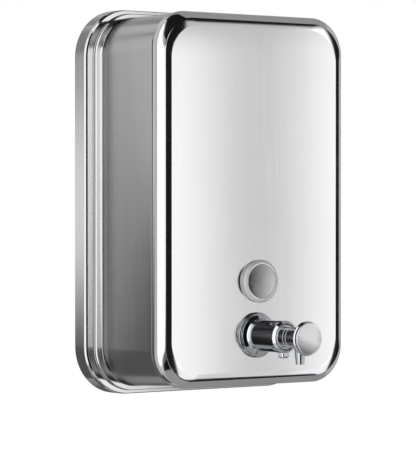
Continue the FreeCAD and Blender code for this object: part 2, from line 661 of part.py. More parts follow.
def plunger_stem():
    stem = rod(STEM_RADIUS, STEM_REAR, BUTTON_REAR, VALVE_Z)
    for reach in STEM_GROOVES:
        groove = ring(STEM_RADIUS + PAST, STEM_GROOVE_RADIUS, reach, reach + STEM_GROOVE_WIDTH, VALVE_Z)
        stem = stem.cut(groove)
    stem = stem.cut(rod(STEM_BORE_RADIUS, STEM_REAR - PAST, STEM_BORE_STEP, VALVE_Z))
    stem = stem.cut(rod(STEM_PASSAGE_RADIUS, STEM_BORE_STEP - PAST, BUTTON_REAR, VALVE_Z))
    stem = stem.cut(rod(STEM_BORE_RADIUS, BUTTON_REAR - BUTTON_SPIGOT_LENGTH, BUTTON_REAR + PAST, VALVE_Z))
    port = post(NOZZLE_SPIGOT_RADIUS + GAP, VALVE_Z - STEM_RADIUS - PAST, VALVE_Z, NOZZLE_REACH)
    return stem.cut(port)


def push_button():
    disc = cap(BUTTON_RADIUS, BUTTON_SAG, BUTTON_REAR, BUTTON_FRONT, VALVE_Z)
    disc = disc.makeFillet(BUTTON_EDGE_RADIUS, circle_edges(disc, BUTTON_RADIUS, BUTTON_REAR))
    spigot_rear = BUTTON_REAR - BUTTON_SPIGOT_LENGTH + GAP
    return disc.fuse(rod(STEM_BORE_RADIUS - GAP, spigot_rear, BUTTON_REAR + OVERLAP, VALVE_Z))


def spout_nozzle():
    seat_z = VALVE_Z - NOZZLE_TOP_RADIUS
    centre_y = FRONT_Y - NOZZLE_REACH
    tip = vec(0, centre_y, NOZZLE_TIP_Z)
    nozzle = Part.makeCone(NOZZLE_TIP_RADIUS, NOZZLE_TOP_RADIUS, seat_z - NOZZLE_TIP_Z, tip, Z_AXIS)
    saddle_half = NOZZLE_TOP_RADIUS + PAST
    saddle = rod(STEM_RADIUS + GAP, NOZZLE_REACH - saddle_half, NOZZLE_REACH + saddle_half, VALVE_Z)
    nozzle = nozzle.cut(saddle)
    spigot_top = VALVE_Z - STEM_PASSAGE_RADIUS - GAP
    nozzle = nozzle.fuse(post(NOZZLE_SPIGOT_RADIUS, VALVE_Z - STEM_RADIUS - PAST, spigot_top, NOZZLE_REACH))
    return nozzle.cut(post(NOZZLE_BORE_RADIUS, NOZZLE_TIP_Z - PAST, VALVE_Z, NOZZLE_REACH))


def piston_head():
    piston = rod(PISTON_RADIUS, PISTON_REAR, STEM_REAR, VALVE_Z)
    groove_rear = PISTON_RING_REACH - PISTON_GROOVE_HALF
    groove_front = PISTON_RING_REACH + PISTON_GROOVE_HALF
    piston = piston.cut(ring(PISTON_RADIUS + PAST, PISTON_GROOVE_RADIUS, groove_rear, groove_front, VALVE_Z))
    piston = piston.fuse(rod(STEM_BORE_RADIUS - GAP, STEM_REAR - OVERLAP, PISTON_SPIGOT_REACH, VALVE_Z))
    return piston.cut(rod(PISTON_PORT_RADIUS, PISTON_REAR - PAST, PISTON_SPIGOT_REACH + PAST, VALVE_Z))


def piston_ring():
    centre = vec(0, FRONT_Y - PISTON_RING_REACH, VALVE_Z)
    return Part.makeTorus(PISTON_RING_RADIUS, PISTON_RING_WIRE, centre, Y_AXIS)


def return_spring():
    return coil(SPRING_RADIUS, SPRING_WIRE, PUMP_BORE_REAR, PISTON_REAR, SPRING_TURNS, VALVE_Z)


def ball_lift(ball_radius, seat_radius):
    """Height of a ball's centre over the edge of the hole that it closes."""
    return math.sqrt(ball_radius ** 2 - seat_radius ** 2) + BALL_SEAT_GAP


OUTLET_BALL_REACH = PISTON_SPIGOT_REACH + ball_lift(OUTLET_BALL_RADIUS, PISTON_PORT_RADIUS)


def outlet_ball():
    return Part.makeSphere(OUTLET_BALL_RADIUS, vec(0, FRONT_Y - OUTLET_BALL_REACH, VALVE_Z))


def outlet_spring():
    """Spring whose first turn lies round the crown of the outlet ball."""
    touch = OUTLET_BALL_RADIUS + OUTLET_SPRING_WIRE
    first_turn = math.sqrt(touch ** 2 - OUTLET_SPRING_RADIUS ** 2) + BALL_SEAT_GAP
    rear = OUTLET_BALL_REACH + first_turn - OUTLET_SPRING_WIRE
    return coil(OUTLET_SPRING_RADIUS, OUTLET_SPRING_WIRE, rear, STEM_BORE_STEP, OUTLET_SPRING_TURNS, VALVE_Z)


# ---- Suction side -------------------------------------------------------------------------

def inlet_elbow():
    elbow = rod(ELBOW_RADIUS, ELBOW_REAR, ELBOW_FRONT, VALVE_Z)
    elbow = elbow.fuse(post(LEG_RADIUS, LEG_BOTTOM, VALVE_Z, LEG_REACH))
    elbow = elbow.cut(rod(SHANK_RADIUS + GAP, SHANK_REACH, ELBOW_FRONT + PAST, VALVE_Z))
    passage_rear = LEG_REACH - ELBOW_PASSAGE_RADIUS
    elbow = elbow.cut(rod(ELBOW_PASSAGE_RADIUS, passage_rear, SHANK_REACH + PAST, VALVE_Z))
    elbow = elbow.cut(post(BALL_CHAMBER_RADIUS, BALL_SEAT_Z, VALVE_Z, LEG_REACH))
    socket_top = BALL_SEAT_Z - BALL_SEAT_THICKNESS
    elbow = elbow.cut(post(BALL_SEAT_RADIUS, socket_top - PAST, BALL_SEAT_Z + PAST, LEG_REACH))
    return elbow.cut(post(DIP_TUBE_RADIUS + GAP, LEG_BOTTOM - PAST, socket_top, LEG_REACH))


def inlet_ball():
    centre_z = BALL_SEAT_Z + ball_lift(INLET_BALL_RADIUS, BALL_SEAT_RADIUS)
    return Part.makeSphere(INLET_BALL_RADIUS, vec(0, FRONT_Y - LEG_REACH, centre_z))


def dip_tube():
    top = BALL_SEAT_Z - BALL_SEAT_THICKNESS
    tube = post(DIP_TUBE_RADIUS, DIP_TUBE_BOTTOM, top, LEG_REACH)
    return tube.cut(post(DIP_TUBE_BORE, DIP_TUBE_BOTTOM - PAST, top + PAST, LEG_REACH))


def tube_strainer():
    """Slotted cup on the lower end of the dip tube."""
    strainer = post(STRAINER_RADIUS, STRAINER_BOTTOM, STRAINER_TOP, LEG_REACH)
    strainer = strainer.cut(post(DIP_TUBE_RADIUS + GAP, DIP_TUBE_BOTTOM, STRAINER_TOP + PAST, LEG_REACH))
    slot_low = STRAINER_BOTTOM + SHEET
    slot_high = slot_low + STRAINER_SLOT_HEIGHT
    strainer = strainer.cut(post(STRAINER_BORE_RADIUS, slot_low, DIP_TUBE_BOTTOM, LEG_REACH))
    middle_y = FRONT_Y - LEG_REACH
    for index in range(STRAINER_SLOTS):
        slot = box_between((0, middle_y - STRAINER_SLOT_WIDTH / 2, slot_low),
                           (STRAINER_RADIUS + PAST, middle_y + STRAINER_SLOT_WIDTH / 2, slot_high))
        slot.rotate(vec(0, middle_y, 0), Z_AXIS, 360 * index / STRAINER_SLOTS)
        strainer = strainer.cut(slot)
    return strainer


# ---- Files --------------------------------------------------------------------------------

SUB_PARTS = (
    body_shell, front_cover, back_plate, wall_bracket, hanger_rail, locking_screw,
    fill_neck, fill_lid, lid_hinge_leaf, lid_hinge_pin, lid_gasket,
    window_gasket, window_bezel, window_lens_seal, window_lens, window_inner_gasket, window_nut,
    valve_outer_gasket, valve_body, valve_inner_gasket, valve_washer, valve_lock_nut,
    end_collar, stem_seal, collar_screw,
    plunger_stem, push_button, spout_nozzle, piston_head, piston_ring, return_spring,
    outlet_ball, outlet_spring,
    inlet_elbow, inlet_ball, dip_tube, tube_strainer,
)

os.makedirs("parts", exist_ok=True)
for make in SUB_PARTS:
    shape = make()
    shape.exportStep("parts/%s.step" % make.__name__)
    print(make.__name__, "solids", len(shape.Solids), "valid", shape.isValid(), "mm3", round(shape.Volume, 1))
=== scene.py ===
import bpy
import json
import math
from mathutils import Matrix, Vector
from mathutils.geometry import delaunay_2d_cdt


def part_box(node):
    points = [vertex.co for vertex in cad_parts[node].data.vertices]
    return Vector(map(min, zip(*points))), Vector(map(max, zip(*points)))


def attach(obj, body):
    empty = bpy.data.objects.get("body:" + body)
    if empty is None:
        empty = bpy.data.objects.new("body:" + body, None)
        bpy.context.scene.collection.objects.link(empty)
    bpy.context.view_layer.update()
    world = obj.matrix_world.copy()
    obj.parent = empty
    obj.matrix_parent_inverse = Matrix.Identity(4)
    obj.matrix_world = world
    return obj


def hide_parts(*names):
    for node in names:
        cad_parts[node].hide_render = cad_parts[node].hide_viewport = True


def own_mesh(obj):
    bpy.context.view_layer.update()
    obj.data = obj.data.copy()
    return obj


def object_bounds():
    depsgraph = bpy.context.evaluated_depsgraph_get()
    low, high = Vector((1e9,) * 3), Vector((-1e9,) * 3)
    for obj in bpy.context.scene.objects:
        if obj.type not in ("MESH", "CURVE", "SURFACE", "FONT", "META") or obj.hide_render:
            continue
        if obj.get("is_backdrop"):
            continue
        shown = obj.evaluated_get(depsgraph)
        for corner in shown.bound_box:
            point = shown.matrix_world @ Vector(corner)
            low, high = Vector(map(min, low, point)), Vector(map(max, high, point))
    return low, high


# Wall mounted soap dispenser. Metres, +X right, +Y into the wall, +Z up, origin on the wall plane.

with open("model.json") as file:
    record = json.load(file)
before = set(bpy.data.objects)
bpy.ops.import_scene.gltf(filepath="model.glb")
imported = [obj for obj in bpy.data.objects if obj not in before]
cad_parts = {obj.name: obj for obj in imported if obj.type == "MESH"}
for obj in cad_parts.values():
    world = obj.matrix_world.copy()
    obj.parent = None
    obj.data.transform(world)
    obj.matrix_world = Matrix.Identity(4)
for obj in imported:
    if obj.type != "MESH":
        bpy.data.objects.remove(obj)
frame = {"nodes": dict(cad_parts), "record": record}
cad_low, cad_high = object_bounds()
nodes = frame["nodes"]

MM = 0.001
FRONT_Y = -48.1 * MM                      # plane of the front face
SHEET_MM = 0.8                            # thickness of the pressed sheets
SHEET = SHEET_MM * MM
WINDOW_Z = -32.6 * MM                     # height of the middle of the window
VALVE_Z = -54.8 * MM                      # height of the valve's axis


# ---- Material helpers ---------------------------------------------------------------------

STREAK_SHARE = 0.5                        # share of the streaks in a metal's grain; the rest is soft clouds
CLOUD_GRAIN = (0.03, 0.03, 0.03)


def new_material(name):
    """Material with one principled shader; gives the material, its node tree and the shader."""
    material = bpy.data.materials.new(name)
    material.use_nodes = True
    tree = material.node_tree
    tree.nodes.clear()
    shader = tree.nodes.new("ShaderNodeBsdfPrincipled")
    output = tree.nodes.new("ShaderNodeOutputMaterial")
    tree.links.new(shader.outputs["BSDF"], output.inputs["Surface"])
    return material, tree, shader


def math_node(tree, operation, first, second=None):
    """Works out one operation on numbers or on the outputs of other nodes."""
    node = tree.nodes.new("ShaderNodeMath")
    node.operation = operation
    for index, value in enumerate((first, second)):
        if value is None:
            continue
        if isinstance(value, (int, float)):
            node.inputs[index].default_value = value
        else:
            tree.links.new(value, node.inputs[index])
    return node.outputs["Value"]


def object_axes(tree):
    """The X, Y and Z of the object coordinates, in metres."""
    coordinates = tree.nodes.new("ShaderNodeTexCoord")
    parts = tree.nodes.new("ShaderNodeSeparateXYZ")
    tree.links.new(coordinates.outputs["Object"], parts.inputs["Vector"])
    return parts.outputs


def object_point(tree, scale):
    """Object coordinates in millimetres, stretched by a scale on each axis."""
    coordinates = tree.nodes.new("ShaderNodeTexCoord")
    mapping = tree.nodes.new("ShaderNodeMapping")
    mapping.inputs["Scale"].default_value = [factor / MM for factor in scale]
    tree.links.new(coordinates.outputs["Object"], mapping.inputs["Vector"])
    return mapping.outputs["Vector"]


def noise(tree, scale, detail=4.0):
    """Noise whose scale is given in cycles per millimetre on each axis."""
    texture = tree.nodes.new("ShaderNodeTexNoise")
    texture.inputs["Scale"].default_value = 1.0
    texture.inputs["Detail"].default_value = detail
    texture.inputs["Roughness"].default_value = 0.55
    tree.links.new(object_point(tree, scale), texture.inputs["Vector"])
    return texture.outputs["Fac"]


def spread(tree, value, low, high, start=0.3, end=0.7):
    """Maps a value from start..end to low..high."""
    node = tree.nodes.new("ShaderNodeMapRange")
    node.inputs["From Min"].default_value = start
    node.inputs["From Max"].default_value = end
    node.inputs["To Min"].default_value = low
    node.inputs["To Max"].default_value = high
    tree.links.new(value, node.inputs["Value"])
    return node.outputs["Result"]


def blend_colour(tree, value, first, second, start=0.3, end=0.7):
    """Goes from the first colour to the second as the value goes from start to end."""
    ramp = tree.nodes.new("ShaderNodeValToRGB")
    ramp.color_ramp.elements[0].position = start
    ramp.color_ramp.elements[0].color = (*first, 1.0)
    ramp.color_ramp.elements[1].position = end
    ramp.color_ramp.elements[1].color = (*second, 1.0)
    tree.links.new(value, ramp.inputs["Fac"])
    return ramp.outputs["Color"]


def add_bump(tree, shader, value, height_mm):
    """Lets a value raise the surface by up to the given height."""
    bump = tree.nodes.new("ShaderNodeBump")
    bump.inputs["Strength"].default_value = 1.0
    bump.inputs["Distance"].default_value = height_mm * MM
    tree.links.new(value, bump.inputs["Height"])
    tree.links.new(bump.outputs["Normal"], shader.inputs["Normal"])


def by_depth(tree, changes):
    """Value that runs through the given pairs of depth in millimetres and value, from front to rear."""
    curve = tree.nodes.new("ShaderNodeValToRGB")
    elements = curve.color_ramp.elements
    deepest = changes[0][0]
    share = spread(tree, object_axes(tree)["Y"], 0.0, 1.0, -deepest * MM, 0.0)
    tree.links.new(share, curve.inputs["Fac"])
    for index, (depth, value) in enumerate(changes):
        position = 1.0 - depth / deepest
        element = elements[index] if index < 2 else elements.new(position)
        element.position = position
        element.color = (value, value, value, 1.0)
    return curve.outputs["Color"]


def metal(name, dark, light, rough_low, rough_high, grain, bump_mm=0.0, polish=None, metallic=1.0):
    """Metal whose colour and roughness vary with a stretched noise grain; polish scales the roughness."""
    material, tree, shader = new_material(name)
    streaks = noise(tree, grain)
    clouds = noise(tree, CLOUD_GRAIN, detail=2.0)
    value = math_node(tree, "ADD", math_node(tree, "MULTIPLY", streaks, STREAK_SHARE),
                      math_node(tree, "MULTIPLY", clouds, 1.0 - STREAK_SHARE))
    tree.links.new(blend_colour(tree, value, dark, light), shader.inputs["Base Color"])
    roughness = spread(tree, value, rough_low, rough_high)
    if polish:
        roughness = math_node(tree, "MULTIPLY", roughness, by_depth(tree, polish))
    tree.links.new(roughness, shader.inputs["Roughness"])
    shader.inputs["Metallic"].default_value = metallic
    if bump_mm:
        add_bump(tree, shader, streaks, bump_mm)
    return material


def soft_stuff(name, dark, light, rough_low, rough_high, grain, bump_mm):
    """Rubber or plastic with a fine moulded grain."""
    material, tree, shader = new_material(name)
    value = noise(tree, grain)
    tree.links.new(blend_colour(tree, value, dark, light), shader.inputs["Base Color"])
    tree.links.new(spread(tree, value, rough_low, rough_high), shader.inputs["Roughness"])
    add_bump(tree, shader, value, bump_mm)
    return material


# ---- Materials ----------------------------------------------------------------------------

# Depth from the wall in millimetres and what the tank's roughness is multiplied by there: its
# rim is polished, and its side walls are brushed.
TANK_POLISH = [(48.0, 0.33), (12.0, 0.75), (10.6, 0.6), (9.9, 0.15)]

LENS_SHADING_FADE = 7.0 * MM                      # painted shade on the lens turns into painted light between these distances
LENS_SHADING_WANDER = 0.6 * MM                    # how unevenly it does so
LENS_INDEX = 1.49

SHADE_WAY = (0.4, 0.0, 0.9)               # the way in which the painted shade on the button fades
SHADE_START = -6.3 * MM                   # where it starts and ends, from the valve's axis
SHADE_END = -0.5 * MM
SHADE_LOW = 0.22                          # what its colour is multiplied by at its darkest

MIRROR_FACE = metal("mirror_steel_face", (0.86, 0.86, 0.87), (0.91, 0.91, 0.91),
                    0.15, 0.16, (1.2, 1.2, 0.02))
MIRROR_EDGE = metal("mirror_steel_edge", (0.84, 0.85, 0.87), (0.90, 0.91, 0.92),
                    0.04, 0.08, (0.3, 0.3, 0.3))
TANK = metal("tank_steel", (0.66, 0.66, 0.67), (0.74, 0.74, 0.75),
             0.36, 0.42, (0.9, 0.9, 0.03), polish=TANK_POLISH)
PLAIN = metal("plain_steel", (0.42, 0.43, 0.44), (0.56, 0.57, 0.58),
              0.30, 0.42, (0.04, 1.4, 1.4), bump_mm=0.01)
CHROME = metal("chrome_plate", (0.80, 0.83, 0.88), (0.87, 0.89, 0.93),
               0.03, 0.06, (0.5, 0.5, 0.5))
BUTTON_FACE = metal("button_face", (0.88, 0.88, 0.88), (0.93, 0.93, 0.93),
                    0.24, 0.28, (1.4, 1.4, 1.4))
SATIN = metal("satin_bezel", (0.66, 0.67, 0.69), (0.76, 0.77, 0.79),
              0.38, 0.46, (1.6, 1.6, 1.6), metallic=0.3)
BEZEL_LIP = metal("bezel_lip", (0.86, 0.87, 0.89), (0.92, 0.92, 0.93),
                  0.16, 0.22, (1.6, 1.6, 1.6))
BRASS = metal("nut_brass", (0.58, 0.42, 0.18), (0.72, 0.54, 0.26),
              0.22, 0.34, (0.6, 2.0, 0.6), bump_mm=0.01)
WIRE = metal("spring_steel", (0.40, 0.41, 0.43), (0.58, 0.59, 0.61),
             0.18, 0.28, (2.0, 2.0, 2.0))
RUBBER = soft_stuff("seal_rubber", (0.016, 0.016, 0.017), (0.034, 0.034, 0.036),
                    0.55, 0.75, (2.5, 2.5, 2.5), bump_mm=0.03)
SILICONE = soft_stuff("washer_silicone", (0.56, 0.56, 0.57), (0.64, 0.64, 0.65),
                      0.30, 0.40, (1.5, 1.5, 1.5), bump_mm=0.01)
PUMP = soft_stuff("pump_plastic", (0.70, 0.70, 0.67), (0.80, 0.80, 0.77),
                  0.38, 0.50, (1.2, 1.2, 1.2), bump_mm=0.01)


def smoked_glass_painted_shading():
    """Smoked glass with painted shade on the left for the bore's shaded depth, and painted light on the
    right for its lit side.
    """
    material, tree, shader = new_material("smoked_lens")
    wander = spread(tree, noise(tree, (0.25, 0.25, 0.25)), -LENS_SHADING_WANDER, LENS_SHADING_WANDER)
    across = math_node(tree, "ADD", object_axes(tree)["X"], wander)
    share = spread(tree, across, 0.0, 1.0, -LENS_SHADING_FADE, LENS_SHADING_FADE)
    # painted shade on the left, fading into painted light on the right
    colour = blend_colour(tree, share, (0.01, 0.011, 0.012), (0.97, 0.97, 0.98), 0.0, 1.0)
    tree.links.new(colour, shader.inputs["Base Color"])
    tree.links.new(spread(tree, noise(tree, (0.5, 0.5, 0.5)), 0.14, 0.20), shader.inputs["Roughness"])
    shader.inputs["IOR"].default_value = LENS_INDEX
    return material


LENS_PAINTED_SHADING = smoked_glass_painted_shading()


def shade_lower_left(material):
    """Paints shade into the button's colour towards its lower left."""
    tree = material.node_tree
    colour = next(node for node in tree.nodes if node.type == "BSDF_PRINCIPLED").inputs["Base Color"]
    plain = colour.links[0].from_socket
    coordinates = tree.nodes.new("ShaderNodeTexCoord")
    lean = tree.nodes.new("ShaderNodeVectorMath")
    lean.operation = "DOT_PRODUCT"
    lean.inputs[1].default_value = SHADE_WAY
    tree.links.new(coordinates.outputs["Object"], lean.inputs[0])
    middle = SHADE_WAY[2] * VALVE_Z
    share = spread(tree, lean.outputs["Value"], SHADE_LOW, 1.0, middle + SHADE_START, middle + SHADE_END)
    scaled = tree.nodes.new("ShaderNodeVectorMath")
    scaled.operation = "SCALE"
    tree.links.new(plain, scaled.inputs[0])
    tree.links.new(share, scaled.inputs["Scale"])
    tree.links.new(scaled.outputs["Vector"], colour)


# painted shade on the button's lower left
shade_lower_left(BUTTON_FACE)

FINISH = {
    "mirror_steel": MIRROR_EDGE,
    "tank_steel": TANK,
    "plain_steel": PLAIN,
    "chrome_plate": CHROME,
    "satin_bezel": SATIN,
    "smoked_lens": LENS_PAINTED_SHADING,
    "seal_rubber": RUBBER,
    "pump_plastic": PUMP,
    "nut_brass": BRASS,
    "spring_steel": WIRE,
}


def paint(piece, material):
    """Gives a piece one material in place of those it has."""
    piece.data.materials.clear()
    piece.data.materials.append(material)


for entry in frame["record"]["subparts"]:
    paint(nodes[entry["node"]], FINISH[entry["material_slot"]])
for washer in ("window_gasket", "valve_outer_gasket"):
    paint(nodes[washer], SILICONE)


# ---- Shape helpers ------------------------------------------------------------------------
# A profile is a list of spans. A span is a list of samples: distance across, distance along the
# axis, and the two parts of the normal. A walk that keeps the solid on its left gives normals
# that point out of the solid. An outline gives the points at one distance across, the way out
# from each, and how far it moves as the distance grows by one.

INSIDE_WITH_HOLES = 2                     # kind of triangulation that stays within the outer loop
ARC_STEP = math.radians(7.0)
LEAST_ARC_STEPS = 2
CIRCLE_SIDES = 96
CORNER_STEPS = 24                         # parts of each rounded corner of a pressed outline
QUADRANTS = ((1, 1), (-1, 1), (-1, -1), (1, -1))
SHORTEST_SPAN = 1e-7                      # spans and edges shorter than these metres are left out
SHORTEST_EDGE = 1e-8
FLAT_TOLERANCE = 1e-9


def straight_span(start, end):
    """Span with two samples that share one normal."""
    along = (end - start).normalized()
    normal = (along.y, -along.x)
    return [(start.x, start.y, *normal), (end.x, end.y, *normal)]


def arc_span(centre, radius, start, end, turn, side):
    """Span on an arc from start to end, with normals away from its centre, or towards it at side -1."""
    first_spoke = (start - centre).normalized()
    last_spoke = (end - centre).normalized()
    steps = max(LEAST_ARC_STEPS, math.ceil(turn / ARC_STEP))
    arc = []
    for step in range(steps + 1):
        share = step / steps
        first = math.sin((1 - share) * turn) / math.sin(turn)
        last = math.sin(share * turn) / math.sin(turn)
        spoke = (first_spoke * first + last_spoke * last).normalized()
        place = centre + spoke * radius
        arc.append((place.x, place.y, spoke.x * side, spoke.y * side))
    return arc


def rounded_profile(points):
    """Spans through points (across, along, rounding), in millimetres, with an arc at each rounding."""
    places = [Vector((across * MM, along * MM)) for across, along, _ in points]
    spans = []
    start = places[0]
    for index in range(1, len(points) - 1):
        here = places[index]
        rounding = points[index][2] * MM
        if rounding == 0.0:
            spans.append(straight_span(start, here))
            start = here
            continue
        back = (places[index - 1] - here).normalized()
        ahead = (places[index + 1] - here).normalized()
        turn = math.pi - back.angle(ahead)
        cut = rounding * math.tan(turn / 2)
        arc_start = here + back * cut
        arc_end = here + ahead * cut
        centre = here + (back + ahead).normalized() * (rounding / math.cos(turn / 2))
        if (arc_start - start).length > SHORTEST_SPAN:
            spans.append(straight_span(start, arc_start))
        outward = Vector((-back.y, back.x))
        side = 1.0 if (arc_start - centre).dot(outward) > 0 else -1.0
        spans.append(arc_span(centre, rounding, arc_start, arc_end, turn, side))
        start = arc_end
    spans.append(straight_span(start, places[-1]))
    return spans


def circle(count=CIRCLE_SIDES):
    """Outline for turned pieces: the distance across is the radius."""
    turns = [2 * math.pi * index / count for index in range(count)]

    def at(across):
        return [(across * math.cos(turn), across * math.sin(turn), math.cos(turn), math.sin(turn), 1.0)
                for turn in turns]

    return at


def flat_circle(radius, height, count):
    """Closed loop of flat corners round a middle at the given height."""
    return [(u, v + height) for u, v, _, _, _ in circle(count)(radius)]


def flat_loop(outline, across):
    """Closed loop of flat corners where an outline is at one distance across."""
    return [(u, v) for u, v, _, _, _ in outline(across)]


def pressed_outline(sections):
    """Outline for pressed pieces. Each section is across, half width, half height, corner and rise."""

    def at(across):
        first, last = sections[0], sections[1]
        for index in range(1, len(sections)):
            if (across - sections[index - 1][0]) * (across - sections[index][0]) <= 0:
                first, last = sections[index - 1], sections[index]
        rates = [(end - start) / (last[0] - first[0]) for start, end in zip(first, last)]
        _, wider, higher, rounder, rising = rates
        half_width, half_height, corner, rise = [
            start + rate * (across - first[0]) for start, rate in zip(first[1:], rates[1:])]
        points = []
        for quadrant, (side_u, side_v) in enumerate(QUADRANTS):
            for step in range(CORNER_STEPS + 1):
                turn = math.pi / 2 * (quadrant + step / CORNER_STEPS)
                du, dv = math.cos(turn), math.sin(turn)
                u = side_u * (half_width - corner) + corner * du
                v = side_v * (half_height - corner) + corner * dv + rise
                sides = abs(du) * (wider - rounder) + abs(dv) * (higher - rounder)
                points.append((u, v, du, dv, sides + rounder + dv * rising))
        return points

    return at


def lies_inside(point, loop):
    """True for a point inside a closed loop of flat corners."""
    inside = False
    for index, (u, v) in enumerate(loop):
        last_u, last_v = loop[index - 1]
        crossed = (v > point.y) != (last_v > point.y)
        if crossed and point.x < u + (last_u - u) * (point.y - v) / (last_v - v):
            inside = not inside
    return inside


class Skin:
    """Collects the faces of one piece with an exact normal for each corner of each face."""

    def __init__(self, origin, axis, right):
        self.origin = Vector(origin)
        self.axis = Vector(axis)
        self.right = Vector(right)
        self.up = self.axis.cross(self.right)
        self.points = []
        self.faces = []
        self.normals = []
        self.finish = []

    def place(self, u, v, along):
        """Point at the given distances to the right, up and along the axis."""
        return self.origin + self.right * u + self.up * v + self.axis * along

    def add_face(self, points, normals, finish):
        """Adds one face of three or more corners, turned to the side that its normals point to."""
        side = (points[1] - points[0]).cross(points[2] - points[0])
        if len(points) == 4:
            side = (points[2] - points[0]).cross(points[3] - points[1])
        if side.dot(sum(normals, Vector())) < 0:
            points, normals = points[::-1], normals[::-1]
        first = len(self.points)
        self.points.extend(points)
        self.faces.append(tuple(range(first, first + len(points))))
        self.normals.extend(normals)
        self.finish.append(finish)

    def sweep(self, spans, outline, finish=0, left_out=None):
        """Carries spans round an outline; the side left out is one that is filled in another way."""
        for span in spans:
            rings = []
            for across, along, normal_across, normal_along in span:
                ring = []
                for u, v, du, dv, swell in outline(across):
                    outward = self.right * du + self.up * dv
                    normal = outward * normal_across + self.axis * normal_along * swell
                    ring.append((self.place(u, v, along), normal.normalized()))
                rings.append(ring)
            for ring, after in zip(rings, rings[1:]):
                for index, corner in enumerate(ring):
                    if index == left_out:
                        continue
                    following = (index + 1) % len(ring)
                    corners = [corner, ring[following], after[following], after[index]]
                    kept = []
                    for point, normal in corners:
                        if not kept or all((point - other).length > SHORTEST_EDGE for other, _ in kept):
                            kept.append((point, normal))
                    if len(kept) > 2:
                        self.add_face([point for point, _ in kept], [normal for _, normal in kept], finish)

    def fill(self, place, normal, outer, holes, finish, inner_points=()):
        """Fills a flat outline, less its holes; place(u, v) turns flat coordinates into a point."""
        points = []
        edges = []
        for loop in [outer] + holes:
            first = len(points)
            points.extend(Vector(corner) for corner in loop)
            edges.extend((first + index, first + (index + 1) % len(loop)) for index in range(len(loop)))
        points.extend(Vector(corner) for corner in inner_points)
        placed, _, faces, _, _, _ = delaunay_2d_cdt(points, edges, [], INSIDE_WITH_HOLES, FLAT_TOLERANCE)
        for face in faces:
            middle = sum((placed[i] for i in face), Vector((0, 0))) / len(face)
            if any(lies_inside(middle, loop) for loop in holes):
                continue
            self.add_face([place(placed[i].x, placed[i].y) for i in face], [normal] * len(face), finish)

    def hole_wall(self, place, back_place, loop, finish):
        """Joins the two rims of a hole through a sheet."""
        middle = sum((Vector(corner) for corner in loop), Vector((0, 0))) / len(loop)
        for index, corner in enumerate(loop):
            ahead = loop[(index + 1) % len(loop)]
            corners = [place(*corner), place(*ahead), back_place(*ahead), back_place(*corner)]
            inward = place(*middle) - place(*corner)
            self.add_face(corners, [inward.normalized()] * 4, finish)

    def make(self, name, materials, body, slot, *replaced):
        """Turns the faces into one piece that rides a body and stands for the replaced nodes."""
        mesh = bpy.data.meshes.new(name)
        mesh.from_pydata(self.points, [], self.faces)
        mesh.polygons.foreach_set("use_smooth", [True] * len(self.faces))
        mesh.polygons.foreach_set("material_index", self.finish)
        for material in materials:
            mesh.materials.append(material)
        mesh.normals_split_custom_set([normal.normalized() for normal in self.normals])
        piece = bpy.data.objects.new(name, mesh)
        bpy.context.scene.collection.objects.link(piece)
        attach(piece, body)
        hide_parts(*replaced)
        return piece


# ---- Front cover --------------------------------------------------------------------------

COVER_HALF_WIDTH = 47.9 * MM
COVER_HALF_HEIGHT = 76.5 * MM
COVER_CORNER = 15.1 * MM
COVER_RISE = 0.9 * MM                     # how far its middle is above the middle of the rim
COVER_EDGE_DEPTH = 6.0 * MM
COVER_PROUD = 0.6 * MM                    # how far the middle of the face stands out
CROWN = 0.0003 / MM                       # the face falls back by this times the square of x
TOP_ROLL = 0.0013 / MM                    # and by this times the square of the height above a line
TOP_ROLL_START = 58.0 * MM
# Rolled edge of the cover: length along the edge in millimetres and the tilt reached there.
EDGE_BENDS = [
    (0.0, 4.0), (2.7, 8.0), (2.8, 25.0), (3.1, 43.0), (5.9, 47.0),
    (6.2, 58.0), (8.3, 90.0), (8.4, 94.0), (9.6, 102.0),
]
EDGE_STEP = 0.12                          # length between samples of the edge, in millimetres
LEAST_EDGE_STEPS = 3
CORNER_SHARE = 0.3                        # how fast the corners tighten as the outline is drawn in
FACE_COLUMNS = 20                         # grid on the face, so that it can be crowned
FACE_ROWS = 34
# Height and radius of the holes in the cover.
COVER_HOLES = ((WINDOW_Z, 6.6 * MM), (VALVE_Z, 5.7 * MM))
HOLE_SIDES = 48
HOLE_MARGIN = 7.0 * MM                    # the grid keeps this far from the middle of each hole


def rolled_edge():
    """Samples (across, along, tilt) from the face outwards, ending at the rear of the edge."""
    samples = [(0.0, 0.0, math.radians(EDGE_BENDS[0][1]))]
    across = along = 0.0
    for (start, tilt), (end, next_tilt) in zip(EDGE_BENDS, EDGE_BENDS[1:]):
        steps = max(LEAST_EDGE_STEPS, round((end - start) / EDGE_STEP))
        length = (end - start) / steps
        for step in range(steps):
            middle = math.radians(tilt + (next_tilt - tilt) * (step + 0.5) / steps)
            across += length * math.cos(middle)
            along += length * math.sin(middle)
            samples.append((across, along, math.radians(tilt + (next_tilt - tilt) * (step + 1) / steps)))
    scale = COVER_EDGE_DEPTH / along
    return [(across * scale, along * scale, tilt) for across, along, tilt in samples]


def crown_cover(skin):
    """Bends the cover so that its face is a little fuller in the middle."""
    for index, point in enumerate(skin.points):
        normal = skin.normals[index]
        above = max(0.0, point.z - TOP_ROLL_START)
        back = CROWN * point.x * point.x + TOP_ROLL * above * above - COVER_PROUD
        skin.points[index] = Vector((point.x, point.y + back, point.z))
        skin.normals[index] = Vector((normal.x - 2 * CROWN * point.x * normal.y, normal.y,
                                      normal.z - 2 * TOP_ROLL * above * normal.y))


def face_grid(half_width, half_height):
    """Points inside the flat of the face, clear of its holes."""
    grid = []
    for column in range(1, FACE_COLUMNS):
        for row in range(1, FACE_ROWS):
            point = Vector(((2 * column / FACE_COLUMNS - 1) * half_width,
                            (2 * row / FACE_ROWS - 1) * half_height + COVER_RISE))
            if all((point - Vector((0, height))).length > HOLE_MARGIN for height, _ in COVER_HOLES):
                grid.append(point)
    return grid


